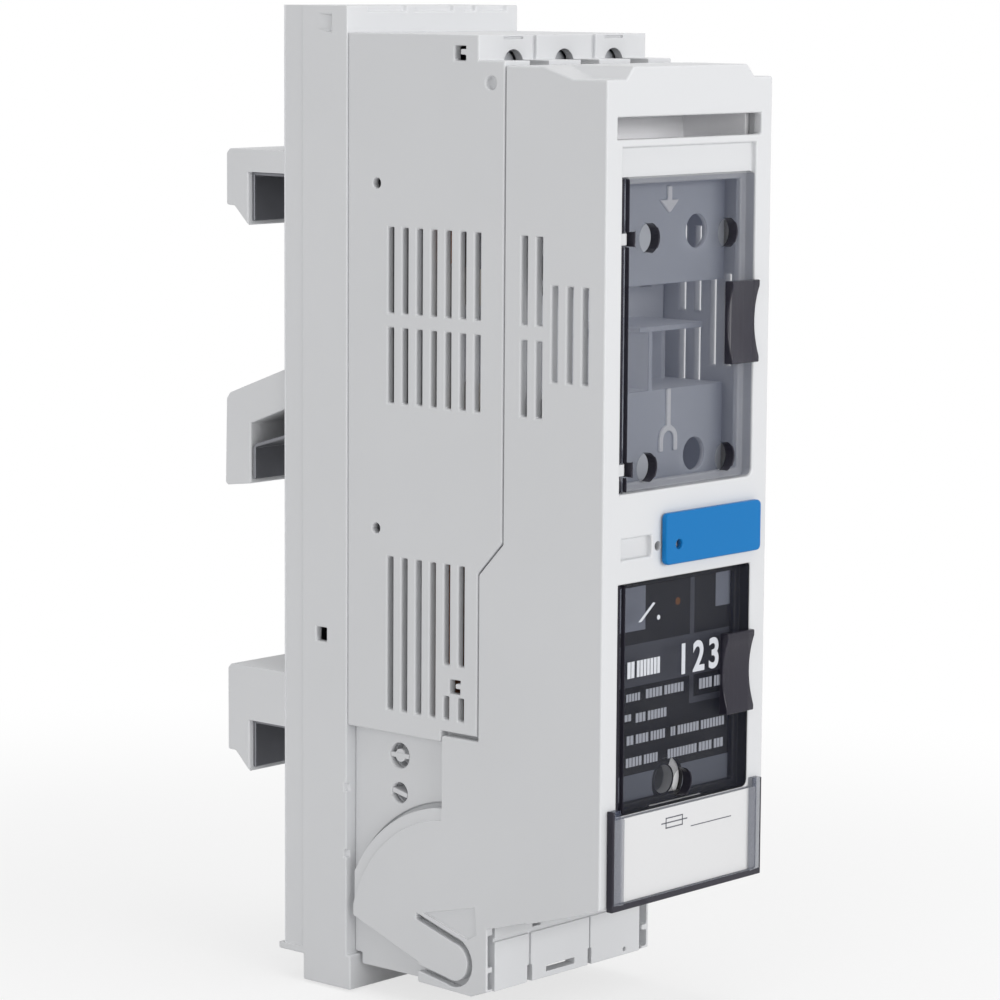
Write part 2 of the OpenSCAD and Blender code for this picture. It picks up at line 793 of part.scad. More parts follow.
module terminal_block() {
    half = low_in - fit_gap;
    bar = [deck_back + fit_gap, deck_back + 11.5];
    wall = [deck_front + cable_room + clamp_wall + 0.3, bar[1]];
    fin_front = strip_front - clamp_nose + 1;
    bar_zs = [side_screw_zs[1] - 3.9, side_screw_zs[0] + 3.9];
    low = load_clamp_z - load_clamp_h / 2 - 5;
    color(inner_white) difference() {
        union() {
            block([-half, half], bar, bar_zs);
            block([-half, half], wall, [low, bar_zs[0] + cut]);
            for (s = [-1, 1])
                block([s * pole_pitch / 2 - barrier_t / 2, s * pole_pitch / 2 + barrier_t / 2],
                      [fin_front, bar[1]], [low, deck_bot - 0.5]);
        }
        for (s = [-1, 1], k = [0, 1]) {
            rod_x(thread_r, [s * half - 8, s * half + 8], side_screw_y, side_screw_zs[k]);
            rod_x(side_screw_rs[k] + screw_room, [s * low_in - bar_seat, s * low_in + bar_seat],
                  side_screw_y, side_screw_zs[k]);
        }
    }
}

module side_screws() {
    bar_h = 1;
    bar_lean = [0, 12];
    seat = low_in - bar_seat;
    color(case_grey) for (s = [-1, 1], k = [0, 1]) mirror([s > 0 ? 0 : 1, 0, 0]) {
        r = side_screw_rs[k];
        rod_x(r, [seat + 0.1, seat + 1.2], side_screw_y, side_screw_zs[k]);
        rod_x(thread_r, [seat - 5, seat + 1], side_screw_y, side_screw_zs[k]);
        if (side_core_rs[k] > 0)
            rod_x(side_core_rs[k], [seat + 1, low_hw - 0.3], side_screw_y, side_screw_zs[k]);
        intersection() {
            rod_x(r, [seat + 1, low_hw - 0.2], side_screw_y, side_screw_zs[k]);
            translate([0, side_screw_y, side_screw_zs[k]]) rotate([bar_lean[k], 0, 0])
                block([0, half_w], [-2 * r, 2 * r], [-bar_h / 2, bar_h / 2]);
        }
    }
}

module bottom_cover() {
    half = low_hw - 0.4;
    plate = [case_low_front - 1.6, case_low_front + 1.2];
    through = [plate[0] - cut, plate[1] + cut];
    z = [case_bot + 0.6, case_low_end - 0.3];
    leg_x = low_in - 0.2;
    notches = [[-13.4, -11.8], [6.4, 7.6]];
    notch_h = 3.7;
    slot_x = [-7.2, 2];
    dot_x = 18.7;
    line_z = z[1] - 4.4;
    color(base_grey) difference() {
        union() {
            block([-half, half], plate, z);
            for (s = [-1, 1])
                block([s * leg_x - (s > 0 ? 1.6 : 0), s * leg_x + (s > 0 ? 0 : 1.6)],
                      [plate[0] + cut, case_low_front + 10], [z[0] + 2, z[1] - 3]);
        }
        // Break-out notches, the thinned outlines of the tabs and the small holes between them
        for (n = notches) {
            block(n, through, [z[0] - cut, z[0] + notch_h]);
            block([n[0] + 0.4, n[1] - 0.4], [through[0], plate[0] + 0.6], [z[0], line_z]);
        }
        block(slot_x, through, [z[0] + 1.3, z[0] + 2.6]);
        rod_y(0.5, dot_x, through, z[0] + 1.3);
        block([-half - cut, half + cut], [through[0], plate[0] + 0.5], [line_z, line_z + 0.7]);
        block([notches[0][1], notches[0][1] + 2.6], through, [line_z + 1.2, line_z + 2.4]);
    }
}

// Lid

lid_outline = [
    [front_y, lid_top], [front_y + 9, lid_top], [front_y + 16.9, lid_top + 2.4], [lid_back, lid_top + 2.3],
    [lid_back, knee_top], [low_back, knee_bot], [low_back, notch_z], [notch_y, notch_z],
    [notch_y, hinge_z + cheek_r - 1.6], [cheek_front, hinge_z + 8.6], [front_y, lid_bot]
];

cheek_outline = [
    [notch_y, notch_z - 10], [cheek_back, notch_z - 10], [cheek_back, hinge_z + 5.2],
    [hinge_y + 10.1, hinge_z - 1.7], [hinge_y + 10.1, hinge_z - 6.2], [hinge_y - 5, hinge_z - 6.7],
    [cheek_front, hinge_z - 5], [cheek_front, notch_z - 10]
];

top_outline = [
    [front_y, lid_top], [front_y + 9, lid_top], [front_y + 16.9, lid_top + 2.4], [lid_back, lid_top + 2.3],
    [lid_back, lid_top + 0.3], [front_y + 17.2, lid_top + 0.4], [front_y + 9.3, lid_top - 2],
    [front_y, lid_top - 2]
];

bottom_outline = [
    [front_y, lid_bot], [front_y, lid_bot + 2], [front_y + 20, lid_bot - 4.4], [front_y + 20, lid_bot - 6.2]
];

// A slot around the spring tongue that carries each hinge bore, with a lean and a length for each leg
module tongue_slot(x) {
    outer = pin_r + 2.4;
    inner = pin_r + 1.1;
    over = [x[0] - cut, x[1] + cut];
    legs = [[17, 12.5], [10, 11]];
    inset = 0.1;
    leg_out = outer - inset;
    leg_in = inner - inset;
    translate([0, hinge_y, hinge_z]) difference() {
        union() {
            rod_x(outer, x, 0, 0);
            rotate([legs[0][0], 0, 0]) block(x, [0, legs[0][1]], [0, leg_out]);
            rotate([legs[1][0], 0, 0]) block(x, [0, legs[1][1]], [-leg_out, 0]);
        }
        rod_x(inner, over, 0, 0);
        rotate([legs[0][0], 0, 0]) block(over, [0, legs[0][1] + cut], [-inner / 2, leg_in]);
        rotate([legs[1][0], 0, 0]) block(over, [0, legs[1][1] + cut], [-leg_in, inner / 2]);
    }
}

module lid_side(s) {
    x = [min(s * lid_in, s * hw), max(s * lid_in, s * hw)];
    difference() {
        union() {
            along_x(x, lid_outline);
            intersection() {
                rod_x(cheek_r, x, hinge_y, hinge_z);
                along_x(x, cheek_outline);
            }
        }
        rod_x(pin_r + pin_play, s > 0 ? [lid_in - cut, hw - 0.4] : [-hw + 0.4, -lid_in + cut],
              hinge_y, hinge_z);
        tongue_slot([x[0] - cut, x[1] + cut]);
    }
}

module lid_vents() {
    vents(front_y + 21.6, 2, [41.2, 59.3], hw);
    vents(front_y + 21.6, 2, [22.4, 38.1], hw);
    vents(front_y + 13.4, 3, [30, 49.6], hw);
}

// Shallow steps on the outside of the cheeks, and hollows behind their front edges
module cheek_marks() {
    band = 2.6;
    intersection() {
        difference() {
            rod_x(cheek_r + cut, [-half_w, half_w], hinge_y, hinge_z);
            rod_x(cheek_r - band, [-half_w - cut, half_w + cut], hinge_y, hinge_z);
        }
        side_pocket(hw, 0.4, [notch_y + 0.2, cheek_back + cut], [hinge_z + 6, hinge_z + cheek_r + cut]);
    }
    for (m = [0, 1]) mirror([m, 0, 0]) {
        along_x([hw - 0.5, hw + cut], [
            [hinge_y + 8.5, hinge_z + 9.1], [hinge_y - 6.1, hinge_z + 12.6],
            [hinge_y - 6.6, hinge_z + 6.8], [hinge_y - 4.1, hinge_z + 5.4]
        ]);
        for (z = [[-4.6, -1], [0.2, 7]])
            block([lid_in - cut, hw - 0.6], [cheek_front - cut, cheek_front + 2.5],
                  [hinge_z + z[0], hinge_z + z[1]]);
    }
}

// The rim that stops a pane and the ears that hold its pins
module window_seat(bot, top) {
    over = rim_w + 1;
    side = lid_in + 0.1;
    difference() {
        block([-side, side], [front_in - 0.1, rim_back], [bot - over, top + over]);
        block([-win_hw, win_hw], [front_in - cut, rim_front], [bot, top]);
        block([axis_x + barrel_r + move_gap, win_hw - rim_w], [front_in - cut, rim_back + cut],
              [bot + rim_w, top - rim_w]);
        block([-win_hw, axis_x + barrel_r + move_gap + cut], [front_in - cut, rim_back + cut], [bot, top]);
    }
}

module window_bores(bot, top) {
    bore = win_pin_r + pin_play;
    rod_z(bore, axis_x, axis_y, [bot - win_pin_l - 0.3, bot + cut]);
    rod_z(bore, axis_x, axis_y, [top - cut, top + win_pin_l + 0.3]);
}

module window_opening(bot, top) {
    round_foot([-win_hw, win_hw], [front_y - cut, front_in + 0.1], [bot, top], corner_r);
}

// A lug of the lid in a gap of a pane's barrel
module hinge_lug(z) {
    zs = [z - lug_h / 2, z + lug_h / 2];
    rod_z(barrel_r, axis_x, axis_y, zs);
    block([-win_hw - 0.1, axis_x], [axis_y - barrel_r, axis_y + barrel_r], zs);
}

// A guide for the probe behind the lower window's test hole
module probe_guide() {
    half = 8.5;
    y = [plate_back + 0.1, plate_back + 3];
    difference() {
        union() {
            block([-half, half], y, [win_b_bot - 2, low_test_z + probe_r + 1.5]);
            block([-half, half], [front_in - 0.1, y[1]], [win_b_bot - 2, win_b_bot + 0.3]);
        }
        rod_y(probe_r, 0, [y[0] - cut, y[1] + cut], low_test_z);
    }
}

module lid_shell() {
    color(case_grey) difference() {
        union() {
            difference() {
                union() {
                    for (s = [-1, 1]) lid_side(s);
                    block([-hw, hw], [front_y, front_in], [lid_bot, lid_top]);
                    along_x([-hw, hw], top_outline);
                    along_x([-hw, hw], bottom_outline);
                    along_y([front_y, front_y + 16], [
                        [-hw + 6, lid_top - 1], [-hw + 6, lid_top], [-hw + 8.4, lid_top + crest_h],
                        [hw - 8.4, lid_top + crest_h], [hw - 6, lid_top], [hw - 6, lid_top - 1]
                    ]);
                }
                window_opening(win_a_bot, win_a_top);
                window_opening(win_b_bot, win_b_top);
                lid_vents();
            }
            window_seat(win_a_bot, win_a_top);
            window_seat(win_b_bot, win_b_top);
            for (z = test_zs) hinge_lug(z);
            probe_guide();
            block([-win_hw - 1, win_hw + 1], [front_in - 0.1, front_in + 1.6], [win_a_top, panel_top + 1]);
        }
        window_bores(win_a_bot, win_a_top);
        window_bores(win_b_bot, win_b_top);
        for (z = test_zs) rod_z(win_pin_r + pin_play, axis_x, axis_y, [z - lug_h, z + lug_h]);
        cheek_marks();
        block([-win_hw, win_hw], [front_y - cut, front_y + panel_in], [win_a_top - 0.1, panel_top]);
        block([-grip_hw, grip_hw], [front_y - cut, front_in + 2], [grip_bot, grip_top]);
        // Slot for the seal slide's neck, the frame's seal hole and the ramped catch pocket
        block([slide_x + slide_neck[0] - slide_travel - move_gap, slide_x + slide_neck[1] + move_gap],
              [front_y - cut, front_in + cut], [slide_z - 2 - move_gap, slide_z + 2 + move_gap]);
        rod_y(seal_r, seal_hole_x - slide_travel, [front_y - cut, front_in + cut], seal_hole_z);
        along_y([front_y - cut, front_y + 1.5], [[-20.8, -5.6], [-11.2, -5.6], [-11.2, -1.3], [-20.8, -1.3]]);
    }
}

module grip_pocket() {
    half = lid_in - 0.1;
    back = front_in + 2 + grip_d;
    color(case_grey) difference() {
        block([-half, half], [rim_back, back], [grip_floor - grip_wall, grip_top + grip_wall]);
        block([-grip_hw, grip_hw], [rim_back - cut, back - grip_wall], [grip_floor, grip_top]);
    }
}

// Fuse carrier and links

module carrier_prongs() {
    difference() {
        union() {
            for (s = [-1, 1]) {
                block([s * pole_pitch / 2 - 2.6, s * pole_pitch / 2 + 2.6], [carrier_back - 0.1, prong_back],
                      prong_z);
                block([s * (case_in - 2.4) - 1.6, s * (case_in - 2.4) + 1.6],
                      [carrier_back - 0.1, prong_back], prong_z);
                block([s * pole_pitch / 2 - barrier_t / 2, s * pole_pitch / 2 + barrier_t / 2],
                      [carrier_back - 0.1, prong_back + 2],
                      [link_z - link_l / 2 - 2, link_z + link_l / 2 + 2]);
            }
        }
        for (i = POLES) rod_z(tube_r + 0.03, pole_x(i), link_y, [prong_z[0] - cut, prong_z[1] + cut]);
    }
}

module carrier_panel(z) {
    for (w = [z[0], z[1] - carrier_wall])
        block([-carrier_hw, carrier_hw], [carrier_face, carrier_back - 0.1], [w, w + carrier_wall]);
    block([-carrier_hw, carrier_hw], [carrier_face, carrier_face + carrier_wall], z);
}

// Raised marks on the panels: an arch with a stem below and an arrow above
module carrier_relief() {
    y = [carrier_face - relief, carrier_face + 0.1];
    over = [y[0] - cut, y[1] + cut];
    arch_x = 3.6;
    arch_z = 16.5;
    arch_r = 2.9;
    leg = 2.5;
    line = 1.2;
    difference() {
        union() {
            rod_y(arch_r, arch_x, y, arch_z);
            block([arch_x - arch_r, arch_x + arch_r], y, [arch_z - leg, arch_z]);
        }
        rod_y(arch_r - line, arch_x, over, arch_z);
        block([arch_x - arch_r + line, arch_x + arch_r - line], over, [arch_z - leg - cut, arch_z]);
    }
    block([arch_x - line / 2, arch_x + line / 2], y, [arch_z + arch_r - 0.2, carrier_gap[0]]);
    along_y(y, [
        [2.5, 68.8], [2.5, 66], [0.2, 66], [3.2, 63.3], [6.2, 66], [3.9, 66], [3.9, 68.8]
    ]);
}

module fuse_carrier() {
    back = [carrier_back - 1.6, carrier_back];
    tab_x = lid_in - 0.1;
    shelf_x = [-5.5, 15.2];
    shelf_z = link_z + 3;
    rib_t = 1.2;
    color(inner_white) difference() {
        union() {
            block([-carrier_hw, carrier_hw], back, [carrier_bot, carrier_top]);
            carrier_panel([carrier_bot, carrier_gap[0]]);
            carrier_panel([carrier_gap[1], carrier_top]);
            carrier_prongs();
            carrier_relief();
            for (z = [carrier_bot, carrier_top - 6])
                block([-tab_x, tab_x], [carrier_back - 4, carrier_back - 1], [z, z + 6]);
            // A shelf and an upright between the panels, and ribs that stiffen the back wall
            block(shelf_x, [carrier_face, carrier_back - 0.1], [shelf_z, shelf_z + rib_t]);
            block([-2.5, rib_t - 2.5], [carrier_face, carrier_back - 0.1],
                  [carrier_gap[0] - 0.1, shelf_z + 0.1]);
            for (x = [-carrier_hw + 3.4, 4.8, carrier_hw - 3.4])
                block([x - rib_t / 2, x + rib_t / 2], [back[0] - 3, carrier_back - 0.1],
                      [carrier_gap[0] - 0.1, shelf_z + 0.1]);
        }
        for (s = [-1, 1], z = test_zs)
            rod_y(test_r + 0.4, s * test_x, [carrier_face - cut, carrier_back + cut], z);
        for (i = POLES, z = [link_z - 24, link_z + 8.5])
            block([pole_x(i) - 2, pole_x(i) + 2], [carrier_back - 5, carrier_back + cut], [z + 2, z + 10]);
    }
}

module fuse_tube(i) {
    half = link_l / 2 - cap_end;
    color([0.93, 0.91, 0.86]) difference() {
        rod_z(tube_r, pole_x(i), link_y, [link_z - half, link_z + half]);
        rod_z(tube_bore, pole_x(i), link_y, [link_z - half - cut, link_z + half + cut]);
    }
}

module fuse_caps(i) {
    color(tinned) for (s = [-1, 1]) translate([pole_x(i), link_y, link_z + s * link_l / 2])
        rotate([s > 0 ? 180 : 0, 0, 0]) difference() {
            cylinder(r = link_r, h = cap_l);
            translate([0, 0, cap_end]) cylinder(r = tube_r, h = cap_l);
        }
}

module fuse_element(i) {
    half = link_l / 2 - cap_end;
    color(tinned) block([pole_x(i) - 2, pole_x(i) + 2], [link_y - 0.15, link_y + 0.15],
                        [link_z - half, link_z + half]);
}

// Front pieces

// A hinged pane with its barrel, pins and finger pull
module window(bot, top, pull_z, holes, lugs) {
    z = [bot + move_gap, top - move_gap];
    right = win_hw - move_gap;
    pull = [pull_z - pull_h / 2, pull_z + pull_h / 2];
    pull_x = [right - pull_w, right];
    pull_front = front_y - pull_proud;
    dip_r = (pow(pull_h / 2 - pull_end, 2) + pow(pull_dip, 2)) / (2 * pull_dip);
    color(smoke) union() {
        difference() {
            union() {
                round_foot([axis_x, right], [pane_front, pane_back], z, corner_r - move_gap);
                rod_z(barrel_r, axis_x, axis_y, z);
                difference() {
                    block(pull_x, [pull_front, pane_front + 0.1], pull);
                    rod_x(dip_r, [pull_x[0] - cut, pull_x[1] + cut], pull_front - dip_r + pull_dip, pull_z);
                }
            }
            for (h = holes) rod_y(test_r, h[0], [pane_front - cut, pane_back + cut], h[1]);
            for (l = lugs)
                block([-win_hw, axis_x + barrel_r + 2 * move_gap], [pane_front - cut, pane_back + cut],
                      [l - lug_h / 2 - move_gap, l + lug_h / 2 + move_gap]);
        }
        rod_z(win_pin_r, axis_x, axis_y, [bot - win_pin_l, top + win_pin_l]);
    }
}

module upper_window() {
    window(win_a_bot, win_a_top, pull_zs[0], [for (s = [-1, 1], z = test_zs) [s * test_x, z]], test_zs);
}

module lower_window() {
    window(win_b_bot, win_b_top, pull_zs[1], [[0, low_test_z]], []);
}

module rating_plate() {
    notch_r = test_r + 1.9;
    color([0.08, 0.08, 0.09]) difference() {
        block([-win_hw + 1, win_hw - 0.5], [rim_back, plate_back], [win_b_bot + 0.5, win_b_top - 0.5]);
        rod_y(notch_r, 0, [rim_back - cut, plate_back + cut], low_test_z);
    }
}

module label_holder() {
    half = holder_w / 2;
    face = front_y - holder_t;
    back = front_y - holder_back_t;
    floor_z = holder_bot + holder_lip;
    color(smoke) difference() {
        union() {
            block([-half, half], [face, front_y], [holder_bot, holder_top]);
            for (m = [0, 1]) mirror([m, 0, 0])
                block([ear_x, half], [face, front_y], [holder_top - cut, holder_top + ear_h]);
        }
        block([-half + flange_w, half - flange_w], [face - cut, back], [floor_z, holder_top + cut]);
        block([-half + holder_wall, half - holder_wall], [face + flange_t, back],
              [floor_z, holder_top + ear_h + cut]);
    }
}

module label_card() {
    half = holder_w / 2 - holder_wall - fit_gap;
    back = front_y - holder_back_t;
    color([0.95, 0.95, 0.95])
        block([-half, half], [back - card_t, back], [holder_bot + holder_lip, holder_top - 0.3]);
}

module seal_slider() {
    half = slide_w / 2;
    foot_y = [front_in + move_gap, front_in + move_gap + 1.2];
    color([0.12, 0.53, 0.78]) difference() {
        union() {
            round_plate([slide_x - half, slide_x + half], [slide_front, slide_back],
                        [slide_z - slide_h / 2, slide_z + slide_h / 2], slide_corner);
            block([slide_x + slide_neck[0], slide_x + slide_neck[1]], [slide_back - 0.1, foot_y[1]],
                  [slide_z - 2, slide_z + 2]);
            block([slide_x + slide_neck[0] - 3, slide_x + slide_neck[1] + 3], foot_y,
                  [slide_z - 3.6, slide_z + 3.6]);
        }
        rod_y(seal_r, seal_hole_x, [slide_front - cut, slide_back + cut], seal_hole_z);
    }
}

// Which pieces are drawn

adapter_base();
latch_hook();
latch_springs();
housing();
housing_screws();
for (i = POLES) {
    busbar_contact(i);
    line_strip(i);
    line_clamp(i);
    upper_cradle(i);
    lower_cradle(i);
    load_clamp(i);
    fuse_tube(i);
    fuse_caps(i);
    fuse_element(i);
}
line_clamp_screws();
load_clamp_screws();
contact_deck();
deck_screws();
terminal_block();
side_screws();
bottom_cover();
lid_shell();
grip_pocket();
fuse_carrier();
rating_plate();
label_holder();
label_card();
upper_window();
lower_window();
seal_slider();
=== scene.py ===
"""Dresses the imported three-pole fuse switch: rounded mouldings, finishes, prints, stage and camera."""

import json
import math

import bmesh
import bpy
from bpy.props import FloatProperty, FloatVectorProperty, IntProperty, PointerProperty
from mathutils import Matrix, Vector
from mathutils.geometry import intersect_point_line

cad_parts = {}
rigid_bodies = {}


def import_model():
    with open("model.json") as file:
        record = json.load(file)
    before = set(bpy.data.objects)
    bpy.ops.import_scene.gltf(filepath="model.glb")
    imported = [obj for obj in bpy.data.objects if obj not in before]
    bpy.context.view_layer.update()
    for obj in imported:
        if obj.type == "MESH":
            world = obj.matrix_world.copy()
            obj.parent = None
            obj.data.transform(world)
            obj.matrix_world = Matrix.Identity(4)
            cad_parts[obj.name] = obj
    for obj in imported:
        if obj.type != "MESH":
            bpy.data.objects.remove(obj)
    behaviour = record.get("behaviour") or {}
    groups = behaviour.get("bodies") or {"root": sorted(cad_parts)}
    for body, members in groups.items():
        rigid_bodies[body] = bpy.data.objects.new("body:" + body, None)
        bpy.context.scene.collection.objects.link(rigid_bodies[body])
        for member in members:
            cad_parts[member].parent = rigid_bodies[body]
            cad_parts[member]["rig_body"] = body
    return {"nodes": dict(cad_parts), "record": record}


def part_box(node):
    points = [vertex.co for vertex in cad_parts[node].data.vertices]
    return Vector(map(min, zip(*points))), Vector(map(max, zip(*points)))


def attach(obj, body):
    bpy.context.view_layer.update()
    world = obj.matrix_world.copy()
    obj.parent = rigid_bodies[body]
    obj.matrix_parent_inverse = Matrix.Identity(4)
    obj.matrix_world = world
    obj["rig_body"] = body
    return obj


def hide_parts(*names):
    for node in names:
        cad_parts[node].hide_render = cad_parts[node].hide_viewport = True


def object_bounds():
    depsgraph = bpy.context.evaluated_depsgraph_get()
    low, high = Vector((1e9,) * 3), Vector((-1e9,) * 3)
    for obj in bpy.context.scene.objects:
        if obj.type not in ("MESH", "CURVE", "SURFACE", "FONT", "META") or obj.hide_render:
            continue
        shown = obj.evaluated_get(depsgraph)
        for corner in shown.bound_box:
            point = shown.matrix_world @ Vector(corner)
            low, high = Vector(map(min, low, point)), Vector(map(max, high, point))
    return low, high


bl_info = {
    "name": "Fuse Switch Looks",
    "version": (1, 0, 0),
    "blender": (4, 5, 0),
    "location": "View3D > Sidebar > Fuse Switch",
    "description": "Builds the looks of a three-pole fuse switch around its CAD frame",
    "category": "Object",
}

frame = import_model()
CAD_BOX = [list(corner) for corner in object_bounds()]
NODES = frame["nodes"]
MM = 0.001
LID_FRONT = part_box("label_holder")[1].y
PANE_IN = 0.3 * MM
PROBE = (0, -54.4)
GUIDE_IN = 0.1 * MM
SHARP = math.radians(30)
FLAT = math.radians(1)


def linear(red, green, blue):
    """Turns a colour as seen on screen, from 0 to 255, into linear light."""
    def channel(value):
        share = value / 255
        return share / 12.92 if share <= 0.04045 else ((share + 0.055) / 1.055) ** 2.4
    return tuple(channel(value) for value in (red, green, blue))


def colour(name, description, shade):
    """A colour setting of the finishes."""
    return FloatVectorProperty(name=name, description=description, default=shade, subtype="COLOR",
                               size=3, min=0, max=1)


def length(name, description, default):
    """A length setting, in metres."""
    return FloatProperty(name=name, description=description, default=default, min=0, unit="LENGTH",
                         precision=5)


def share(name, description, default):
    """A setting between nought and one."""
    return FloatProperty(name=name, description=description, default=default, min=0, max=1, subtype="FACTOR")


class FinishSettings(bpy.types.PropertyGroup):
    """Colours of the mouldings, panes, prints and metal, with some painted light and shade."""

    case: colour("Case", "Moulded plastic of the housing and the lid", linear(212, 213, 215))
    base: colour("Base", "Moulded plastic of the adapter base and its hooks", linear(214, 215, 217))
    inner: colour("Inner plastic", "Carrier, deck and terminal block", linear(222, 223, 226))
    # Painted shade and light: panel and bay are darker and paler copies of one carrier plastic; the front panels
    # are painted darker, the deep bay paler.
    panel: colour("Panel", "Front panels of the fuse carrier", linear(190, 194, 202))
    bay_painted_light: colour("Bay", "Bay and back of the fuse carrier", linear(234, 236, 241))
    # Painted light: a near-white painted on the tops of the carrier's raised marks as a highlight, in the grip
    # pocket and beside the guide's hole.
    raised: colour("Raised marks", "Raised marks on the carrier's panels", linear(250, 250, 252))
    smoke: colour("Smoke", "Tint of the panes and the label holder", linear(24, 28, 44))
    haze: colour("Haze", "Milkier tint of the upper pane and the label holder", linear(84, 90, 110))
    # Cut edges of tinted plastic look deepest; this colour goes only on faces turned to the left, so it is also
    # painted shade.
    smoke_edge: colour("Smoke edge", "Cut edges of the panes, where the tint is deepest", linear(40, 38, 48))
    pull: colour("Pull", "Thick finger pulls on the panes", linear(48, 46, 56))
    pane_cover: share("Pane cover", "How much of the light the panes hold back", 0.25)
    flange_cover: share("Flange cover", "How much of the light the label holder's flanges hold back", 0.3)
    plate: colour("Plate", "Black plate behind the lower window", linear(34, 34, 38))
    tab: colour("Tab", "Blue sealing slide", linear(4, 112, 178))
    card: colour("Card", "White label card", linear(216, 216, 217))
    ink: colour("Ink", "Light print on the plate", linear(205, 208, 214))
    row_ink: colour("Row ink", "Small grey rows on the lower window", linear(134, 137, 146))
    pale_ink: colour("Pale ink", "Pale fields at the plate's upper corners", linear(166, 172, 188))
    foot_painted_shade: colour("Band ink", "Wide band at the plate's foot", linear(134, 139, 152))
    # Painted shade: a grey-blue band over the plate's foot stands for white inner plastic seen in shade through
    # the pane.
    grey_ink: colour("Grey ink", "Grey bands on the plate", linear(100, 102, 112))
    dark_ink: colour("Dark ink", "Print on the label card", linear(92, 94, 102))
    amber: colour("Amber", "Small lens on the plate", linear(150, 98, 52))
    copper: colour("Copper", "Copper strips and cradles", linear(206, 140, 106))
    tin: colour("Tin", "Tinned contacts and caps", linear(132, 133, 138))
    steel: colour("Steel", "Plated screws and clamps", linear(188, 190, 194))
    ceramic: colour("Ceramic", "Tubes of the fuse links", linear(238, 233, 222))


class ShapeSettings(bpy.types.PropertyGroup):
    """Sizes of the edge rounding and of the printed marks."""

    edge: length("Edge radius", "Rounding of the large mouldings' edges", 0.45 * MM)
    fine_edge: length("Fine edge radius", "Rounding of the small pieces' edges", 0.25 * MM)
    edge_steps: IntProperty(name="Edge steps", description="Faces across a rounded edge", default=2, min=1, max=6)
    ink_depth: length("Ink depth", "Thickness of a printed mark", 0.04 * MM)


class StageSettings(bpy.types.PropertyGroup):
    """Camera, lamps and floor."""

    camera_at: FloatVectorProperty(name="Camera", description="Where the camera stands", size=3,
                                   default=(-0.61315, -0.5813, 0.11134), subtype="XYZ", unit="LENGTH")
    lens: FloatProperty(name="Lens", description="Focal length on a 36 mm sensor", default=138.76, min=1)
    key: FloatProperty(name="Key light", description="Power of the lamp before the front", default=9, min=0)
    fill: FloatProperty(name="Fill light", description="Power of the lamp beside the case", default=3.6, min=0)
    top: FloatProperty(name="Top light", description="Power of the lamp above", default=6.5, min=0)
    sky: FloatProperty(name="Sky", description="Strength of the even light from all round", default=0.42, min=0)


def finish_settings():
    return bpy.context.scene.fuse_switch_finish


def shape_settings():
    return bpy.context.scene.fuse_switch_shape


def stage_settings():
    return bpy.context.scene.fuse_switch_stage


class Wire:
    """One output of a shader node. Sums and products of wires and numbers add Math nodes."""

    def __init__(self, shader, socket):
        self.shader = shader
        self.socket = socket

    def _math(self, operation, first, second):
        return self.shader.node("ShaderNodeMath", {"operation": operation}, {0: first, 1: second})

    def __add__(self, other):
        return self._math("ADD", self, other)

    def __radd__(self, other):
        return self._math("ADD", other, self)

    def __sub__(self, other):
        return self._math("SUBTRACT", self, other)

    def __rsub__(self, other):
        return self._math("SUBTRACT", other, self)

    def __mul__(self, other):
        return self._math("MULTIPLY", self, other)

    def __rmul__(self, other):
        return self._math("MULTIPLY", other, self)


class Shader:
    """A material or world under construction."""

    def __init__(self, owner):
        owner.use_nodes = True
        self.owner = owner
        self.tree = owner.node_tree
        self.tree.nodes.clear()

    def node(self, kind, settings=None, inputs=None, output=0):
        """Adds a node, sets its settings first and then its sockets, and returns one output."""
        made = self.tree.nodes.new(kind)
        for name, value in (settings or {}).items():
            if name == "stops":
                for place, stop in enumerate(value):
                    ramp = made.color_ramp.elements
                    element = ramp[place] if place < len(ramp) else ramp.new(stop[0])
                    element.position, element.color = stop
            else:
                setattr(made, name, value)
        for name, value in (inputs or {}).items():
            socket = made.inputs[name]
            if isinstance(value, Wire):
                self.tree.links.new(value.socket, socket)
            else:
                socket.default_value = value
        return Wire(self, made.outputs[output]) if made.outputs else made

    def place(self):
        """Where a point lies on the object, in metres."""
        return self.node("ShaderNodeTexCoord", output="Object")

    def noise(self, scale, detail=2.0, roughness=0.5):
        return self.node("ShaderNodeTexNoise", {"noise_dimensions": "3D"},
                         {"Vector": self.place(), "Scale": scale, "Detail": detail, "Roughness": roughness})

    def blend(self, share, first, second):
        """A colour between two colours."""
        mixed = self.node("ShaderNodeMix", {"data_type": "RGBA"}, {0: share, 6: first, 7: second}, output=2)
        return mixed

    def bump(self, height, strength, depth):
        return self.node("ShaderNodeBump", None,
                         {"Height": height, "Strength": strength, "Distance": depth})

    def edge_wear_and_sheen(self, reach):
        """One along sharp edges, and nought on flat faces: the mask of the painted edge highlight."""
        rounded = self.node("ShaderNodeBevel", {"samples": 4}, {"Radius": reach})
        flat = self.node("ShaderNodeNewGeometry", output="Normal")
        turn = self.node("ShaderNodeVectorMath", {"operation": "DOT_PRODUCT"}, {0: rounded, 1: flat},
                         output="Value")
        return self.node("ShaderNodeClamp", None, {"Value": 3 * (1 - turn)})

    def surface(self, inputs):
        body = self.node("ShaderNodeBsdfPrincipled", None, inputs)
        self.node("ShaderNodeOutputMaterial", None, {"Surface": body})
        return self.owner


def opaque(shade, factor=1.0):
    """A colour with full alpha, made lighter or darker by a factor."""
    return tuple(min(1.0, value * factor) for value in shade) + (1.0,)


